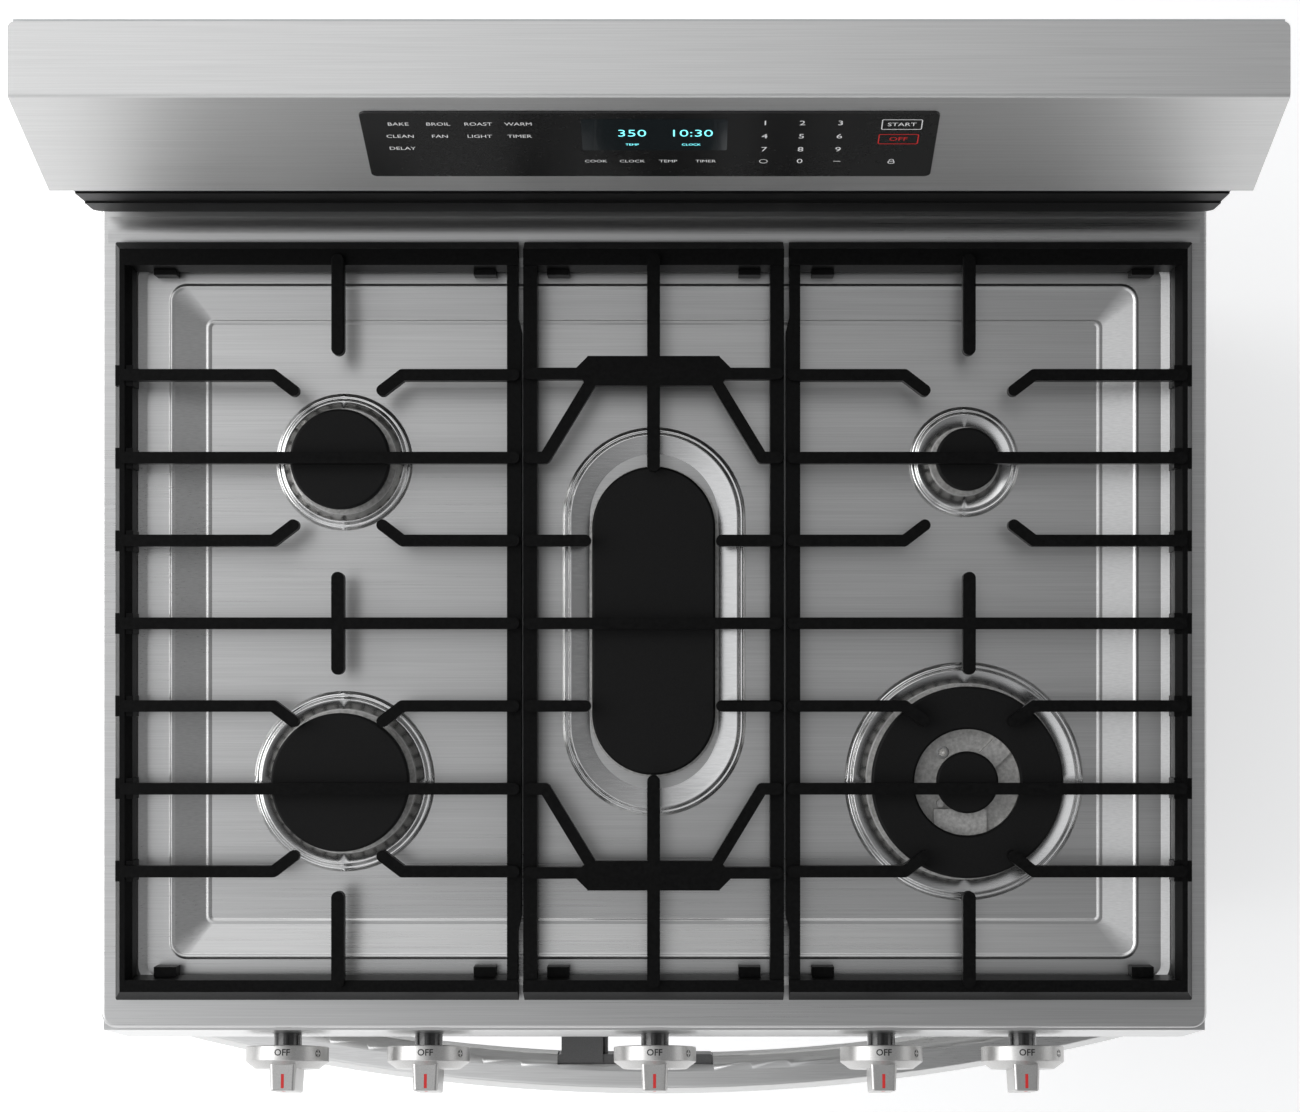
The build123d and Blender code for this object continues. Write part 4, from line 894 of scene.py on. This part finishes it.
# ---------------------------------------------------------------- oven and body
@dataclass
class OvenBody:
    """Outer cabinet, oven cavity and everything fixed in it."""

    body: str = "range_body"
    gasket_outer: Span = (0.630, 0.557)
    gasket_inner: Span = (0.618, 0.547)
    gasket_middle_z: float = 0.5075
    gasket_face_y: float = -0.2490
    gasket_corners: Span = (0.007, 0.012)  # inner, outer
    gasket_height: float = 0.0021
    rope_steps: int = 360  # points along the rope, four to a strand
    strand_depth: float = 0.08
    strand_slant: float = 5.0
    cover_y: float = 0.2210
    fan_z: float = 0.507
    cover_screw_reach: float = 0.122

    def build(self) -> None:
        """Dresses the cabinet and the cavity, and adds the braided gasket and the fan cover's screws."""
        dress(Finish.SIDE, "side_panel_left", "side_panel_right")
        dress(Finish.ZINC, "rear_panel", "base_frame")
        dress(Finish.FOOT, "leveling_feet")
        dress(Finish.ENAMEL, "oven_cavity", "oven_front_frame", "oven_floor_panel", "convection_cover")
        dress(Finish.TUBE, "bake_burner", "broil_burner", "burner_tubes", "gas_manifold")
        dress(Finish.MOTOR, "convection_motor", "convection_fan", "hinge_receivers", "panel_screws")
        dress(Finish.LENS, "oven_lamp")
        dress(Finish.WOOL, "oven_insulation")
        dress(Finish.DIE_CAST, "gas_regulator")
        dress(Finish.WIRE, "oven_rack_upper", "oven_rack_lower")
        self.add_gasket()
        self.add_cover_screws()

    def add_gasket(self) -> None:
        """Braided rope round the oven's mouth: a low arch carried along a rounded rectangle.

        At a share s across the band from its inner to its outer edge, the rope stands
        height * sqrt(sin(pi * s)) proud, with a ripple along the path for its strands.
        """
        inner_corner, outer_corner = self.gasket_corners
        inner = self.even_path(*self.gasket_inner, inner_corner, self.rope_steps)
        outer = self.even_path(*self.gasket_outer, outer_corner, self.rope_steps)
        share = np.linspace(0.0, 1.0, ARCH_STEPS)
        flat = inner[:, None, :] * (1 - share)[None, :, None] + outer[:, None, :] * share[None, :, None]
        turn = np.arange(len(inner))[:, None] * pi / 2 + share[None, :] * self.strand_slant
        ripple = 1.0 - self.strand_depth * np.sin(turn) ** 2
        height = self.gasket_height * np.sqrt(np.sin(pi * share).clip(0))[None, :] * ripple
        x, y, z = flat[..., 0], self.gasket_face_y - height, flat[..., 1] + self.gasket_middle_z
        points = np.stack([x, y, z], axis=-1)
        shape = points.reshape(-1, 3), grid_faces(len(inner), ARCH_STEPS, closed_rows=True)
        piece = add_piece("gasket_rope", shape, Finish.GASKET, self.body, smooth=True)
        self.lay_uv(piece, ARCH_STEPS)
        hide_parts("door_gasket")

    @staticmethod
    def even_path(width: float, height: float, corner: float, count: int) -> np.ndarray:
        """Rounded rectangle with its points at even spacing, by interpolating along its length.

        Args:
            width: Full width.
            height: Full height.
            corner: Corner radius.
            count: Number of points.

        Returns:
            Points (count, 2).
        """
        outline = rounded_outline(width, height, corner, 8)
        loop = np.concatenate([outline, outline[:1]])
        reach = np.concatenate([[0.0], np.cumsum(np.linalg.norm(np.diff(loop, axis=0), axis=1))])
        want = np.linspace(0.0, reach[-1], count, endpoint=False)
        return np.stack([np.interp(want, reach, loop[:, 0]), np.interp(want, reach, loop[:, 1])], axis=-1)

    @staticmethod
    def lay_uv(piece: bpy.types.Object, columns: int) -> None:
        """Gives a grid piece a UV map: U counts half rows along the rope, V runs from 0 to 3 across it."""
        mesh = piece.data
        corner = np.zeros(len(mesh.loops), dtype=int)
        mesh.loops.foreach_get("vertex_index", corner)
        uv = np.stack([corner // columns * 0.5, corner % columns / (columns - 1) * 3.0], axis=-1)
        mesh.uv_layers.new(name="rope").data.foreach_set("uv", uv.ravel())

    def add_cover_screws(self) -> None:
        """Four domed screws at the corners of the fan's cover: a low dome turned about Y."""
        angle = np.linspace(0.0, pi / 2, 6)
        dome = np.stack([0.0042 * np.cos(angle), 0.0018 * np.sin(angle)], axis=-1)
        places = (-self.cover_screw_reach, self.cover_screw_reach)
        to_front = np.array([0.0, -1.0, 0.0])
        screws = [turned_shape(dome, np.array([x, self.cover_y, self.fan_z + z]), to_front, 16)
                  for x in places for z in places]
        add_piece("cover_screws", joined(screws), Finish.WIRE, self.body, smooth=True)


# ---------------------------------------------------------------- door and drawer
@dataclass
class Door:
    """Drop-down oven door with its window, handle and hinge arms."""

    body: str = "door"
    glass_back_y: float = -0.2815
    window_middle_z: float = 0.495
    border_outer: Span = (0.516, 0.334)
    border_inner: Span = (0.440, 0.256)
    border_thickness: float = 0.0004

    def build(self) -> None:
        """Dresses the door's pieces and adds the glass's printed border."""
        dress(Finish.STAINLESS, "door_outer_panel")
        dress(Finish.HANDLE, "door_handle_bar")
        dress(Finish.BRACKET, "door_handle_center_block")
        dress(Finish.OVEN_GLASS, "door_outer_glass")
        dress(Finish.INNER_GLASS, "door_inner_glass")
        dress(Finish.ENAMEL, "door_inner_panel")
        dress(Finish.MOTOR, "door_hinge_arms")
        self.add_border()

    def add_border(self) -> None:
        """Black fired border behind the outer glass: a thin ring between two rounded outlines."""
        outlines = [rounded_outline(*self.border_outer, 0.006), rounded_outline(*self.border_inner, 0.014)]
        front_y, back_y = self.glass_back_y + 0.00005, self.glass_back_y + self.border_thickness
        loops = [(outlines[0], front_y), (outlines[1], front_y), (outlines[1], back_y), (outlines[0], back_y)]
        middle = self.window_middle_z
        points = np.stack([np.stack([flat[:, 0], np.full(len(flat), y), flat[:, 1] + middle], axis=-1)
                           for flat, y in loops])
        faces = grid_faces(*points.shape[:2], closed_rows=True, closed_columns=True)
        shape = points.reshape(-1, 3), faces
        add_piece("window_border", shape, Finish.PANEL_GLASS, self.body)


@dataclass
class Drawer:
    """Storage drawer under the oven."""

    def build(self) -> None:
        """Dresses the drawer's front and its box."""
        dress(Finish.STAINLESS, "drawer_front")
        dress(Finish.DRAWER, "drawer_box")


# ---------------------------------------------------------------- studio
@dataclass
class Studio:
    """Pale floor, soft lights and a camera straight above the cooktop."""

    camera_spot: tuple[float, float, float] = (0.0216, -0.04685, 2.937)
    lens: float = 81.86
    shift: Span = (-0.0274, 0.103)
    floor_half: float = 8.0
    floor_span: Span = (-0.9, 0.8)  # X at which the floor's painted glow starts and ends its fall: more glow to the left, as painted light
    floor_painted_glow: Span = (0.52, 0.36)
    daylight: Colour = (0.975, 0.982, 1.0, 1.0)
    side_steps: tuple[Span, ...] = (  # X of a direction, and the daylight's share from there
        (-0.40, 1.00), (-0.19, 1.25), (-0.12, 0.60), (0.00, 0.46), (0.14, 0.34), (0.21, 0.20), (0.45, 0.42))
    high_span: Span = (0.60, 0.99)  # Z of a direction, between which the daylight changes
    high_share: Span = (0.86, 0.78)
    softboxes: tuple[tuple, ...] = (  # name, place, aim, side, watts
        ("softbox_left", (-2.8, 0.2, 2.8), (0.0, 0.0, 0.8), 2.6, 60.0),
        ("softbox_front", (-0.6, -3.6, 2.4), (0.0, 0.0, 0.7), 2.4, 7.0),
        ("softbox_rear", (-0.4, 1.8, 4.0), (0.0, 0.2, 1.0), 1.9, 8.0),
        ("softbox_right", (3.6, -0.6, 2.2), (0.0, 0.0, 0.7), 1.8, 9.0))

    def build(self) -> None:
        """Sets up floor, world, lights and camera."""
        self.add_floor()
        self.set_world()
        for softbox in self.softboxes:
            self.add_light(*softbox)
        self.add_camera()

    def add_floor(self) -> None:
        """Flat pale floor, as a plain square of four corners, with a painted glow that falls from left to
        right.
        """
        half = self.floor_half
        corners = [(-half, -half, 0.0), (half, -half, 0.0), (half, half, 0.0), (-half, half, 0.0)]
        mesh = bpy.data.meshes.new("studio_floor")
        mesh.from_pydata(corners, [], [(0, 1, 2, 3)])
        board = ShaderBoard("studio_floor_paper")
        board.set(Roughness=0.9, Emission_Color=grey(1.0))
        spot_x = board.nodes.new("ShaderNodeSeparateXYZ")
        board.links.new(board.place, spot_x.inputs["Vector"])
        # Painted light: the floor glows more on the left than on the right, though it is no lamp
        board.wire(board.ranged(spot_x.outputs["X"], self.floor_span, self.floor_painted_glow), "Emission Strength")
        board.wire(board.blend(board.noise((3.0, 3.0, 3.0), 1.0), grey(0.92), grey(0.94)), "Base Color")
        mesh.materials.append(board.material)
        floor = bpy.data.objects.new("studio_floor", mesh)
        bpy.context.scene.collection.objects.link(floor)

    def set_world(self) -> None:
        """Soft daylight from all round: by steps of the direction's X, and weaker overhead."""
        world = bpy.data.worlds.new("studio_daylight")
        world.use_nodes = True
        nodes, links = world.node_tree.nodes, world.node_tree.links
        way = nodes.new("ShaderNodeSeparateXYZ")
        links.new(nodes.new("ShaderNodeTexCoord").outputs["Generated"], way.inputs["Vector"])
        low, high = self.side_steps[0][0], self.side_steps[-1][0]
        across = map_range(world.node_tree, way.outputs["X"], (low, high), (0.0, 1.0))
        ramp = nodes.new("ShaderNodeValToRGB")
        stops = ramp.color_ramp.elements
        for place, _ in self.side_steps[1:-1]:
            stops.new((place - low) / (high - low))
        for stop, (place, share) in zip(stops, self.side_steps):
            stop.color = grey(share)
        links.new(across, ramp.inputs["Fac"])
        product = nodes.new("ShaderNodeMath")
        product.operation = "MULTIPLY"
        links.new(ramp.outputs["Color"], product.inputs[0])
        fall = map_range(world.node_tree, way.outputs["Z"], self.high_span, self.high_share)
        links.new(fall, product.inputs[1])
        nodes["Background"].inputs["Color"].default_value = self.daylight
        links.new(product.outputs["Value"], nodes["Background"].inputs["Strength"])
        bpy.context.scene.world = world
        bpy.context.scene.view_settings.view_transform = "Standard"

    def add_light(self, name: str, spot_at: tuple[float, float, float], aim: tuple[float, float, float],
                  size: float, power: float) -> None:
        """Square softbox turned towards a point.

        Args:
            name: The light's name.
            spot_at: Where it stands.
            aim: The point that it faces.
            size: Its side.
            power: Its power in watts.
        """
        lamp = bpy.data.lights.new(name, "AREA")
        lamp.shape = "SQUARE"
        lamp.size = size
        lamp.energy = power
        holder = bpy.data.objects.new(name, lamp)
        holder.location = spot_at
        way = np.array(aim) - np.array(spot_at)
        flat = float(np.hypot(way[0], way[1]))
        turn = float(np.arctan2(way[1], way[0]) - pi / 2)
        holder.rotation_euler = (float(np.arctan2(flat, -way[2])), 0.0, turn)
        bpy.context.scene.collection.objects.link(holder)

    def add_camera(self) -> None:
        """Camera that looks straight down on the cooktop, with the range's rear at the top."""
        camera = bpy.data.cameras.new("camera")
        camera.lens = self.lens
        camera.sensor_width = 36.0
        camera.shift_x, camera.shift_y = self.shift
        holder = bpy.data.objects.new("camera", camera)
        holder.location = self.camera_spot
        bpy.context.scene.collection.objects.link(holder)
        bpy.context.scene.camera = holder


def main() -> None:
    """Builds every sub-assembly in order."""
    logging.basicConfig(level=logging.INFO, format="%(message)s")
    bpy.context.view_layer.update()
    for assembly in (Cooktop(), Knobs(), Backguard(), OvenBody(), Door(), Drawer(), Studio()):
        assembly.build()
        log.info("built %s", type(assembly).__name__)


if __name__ == "__main__":
    main()
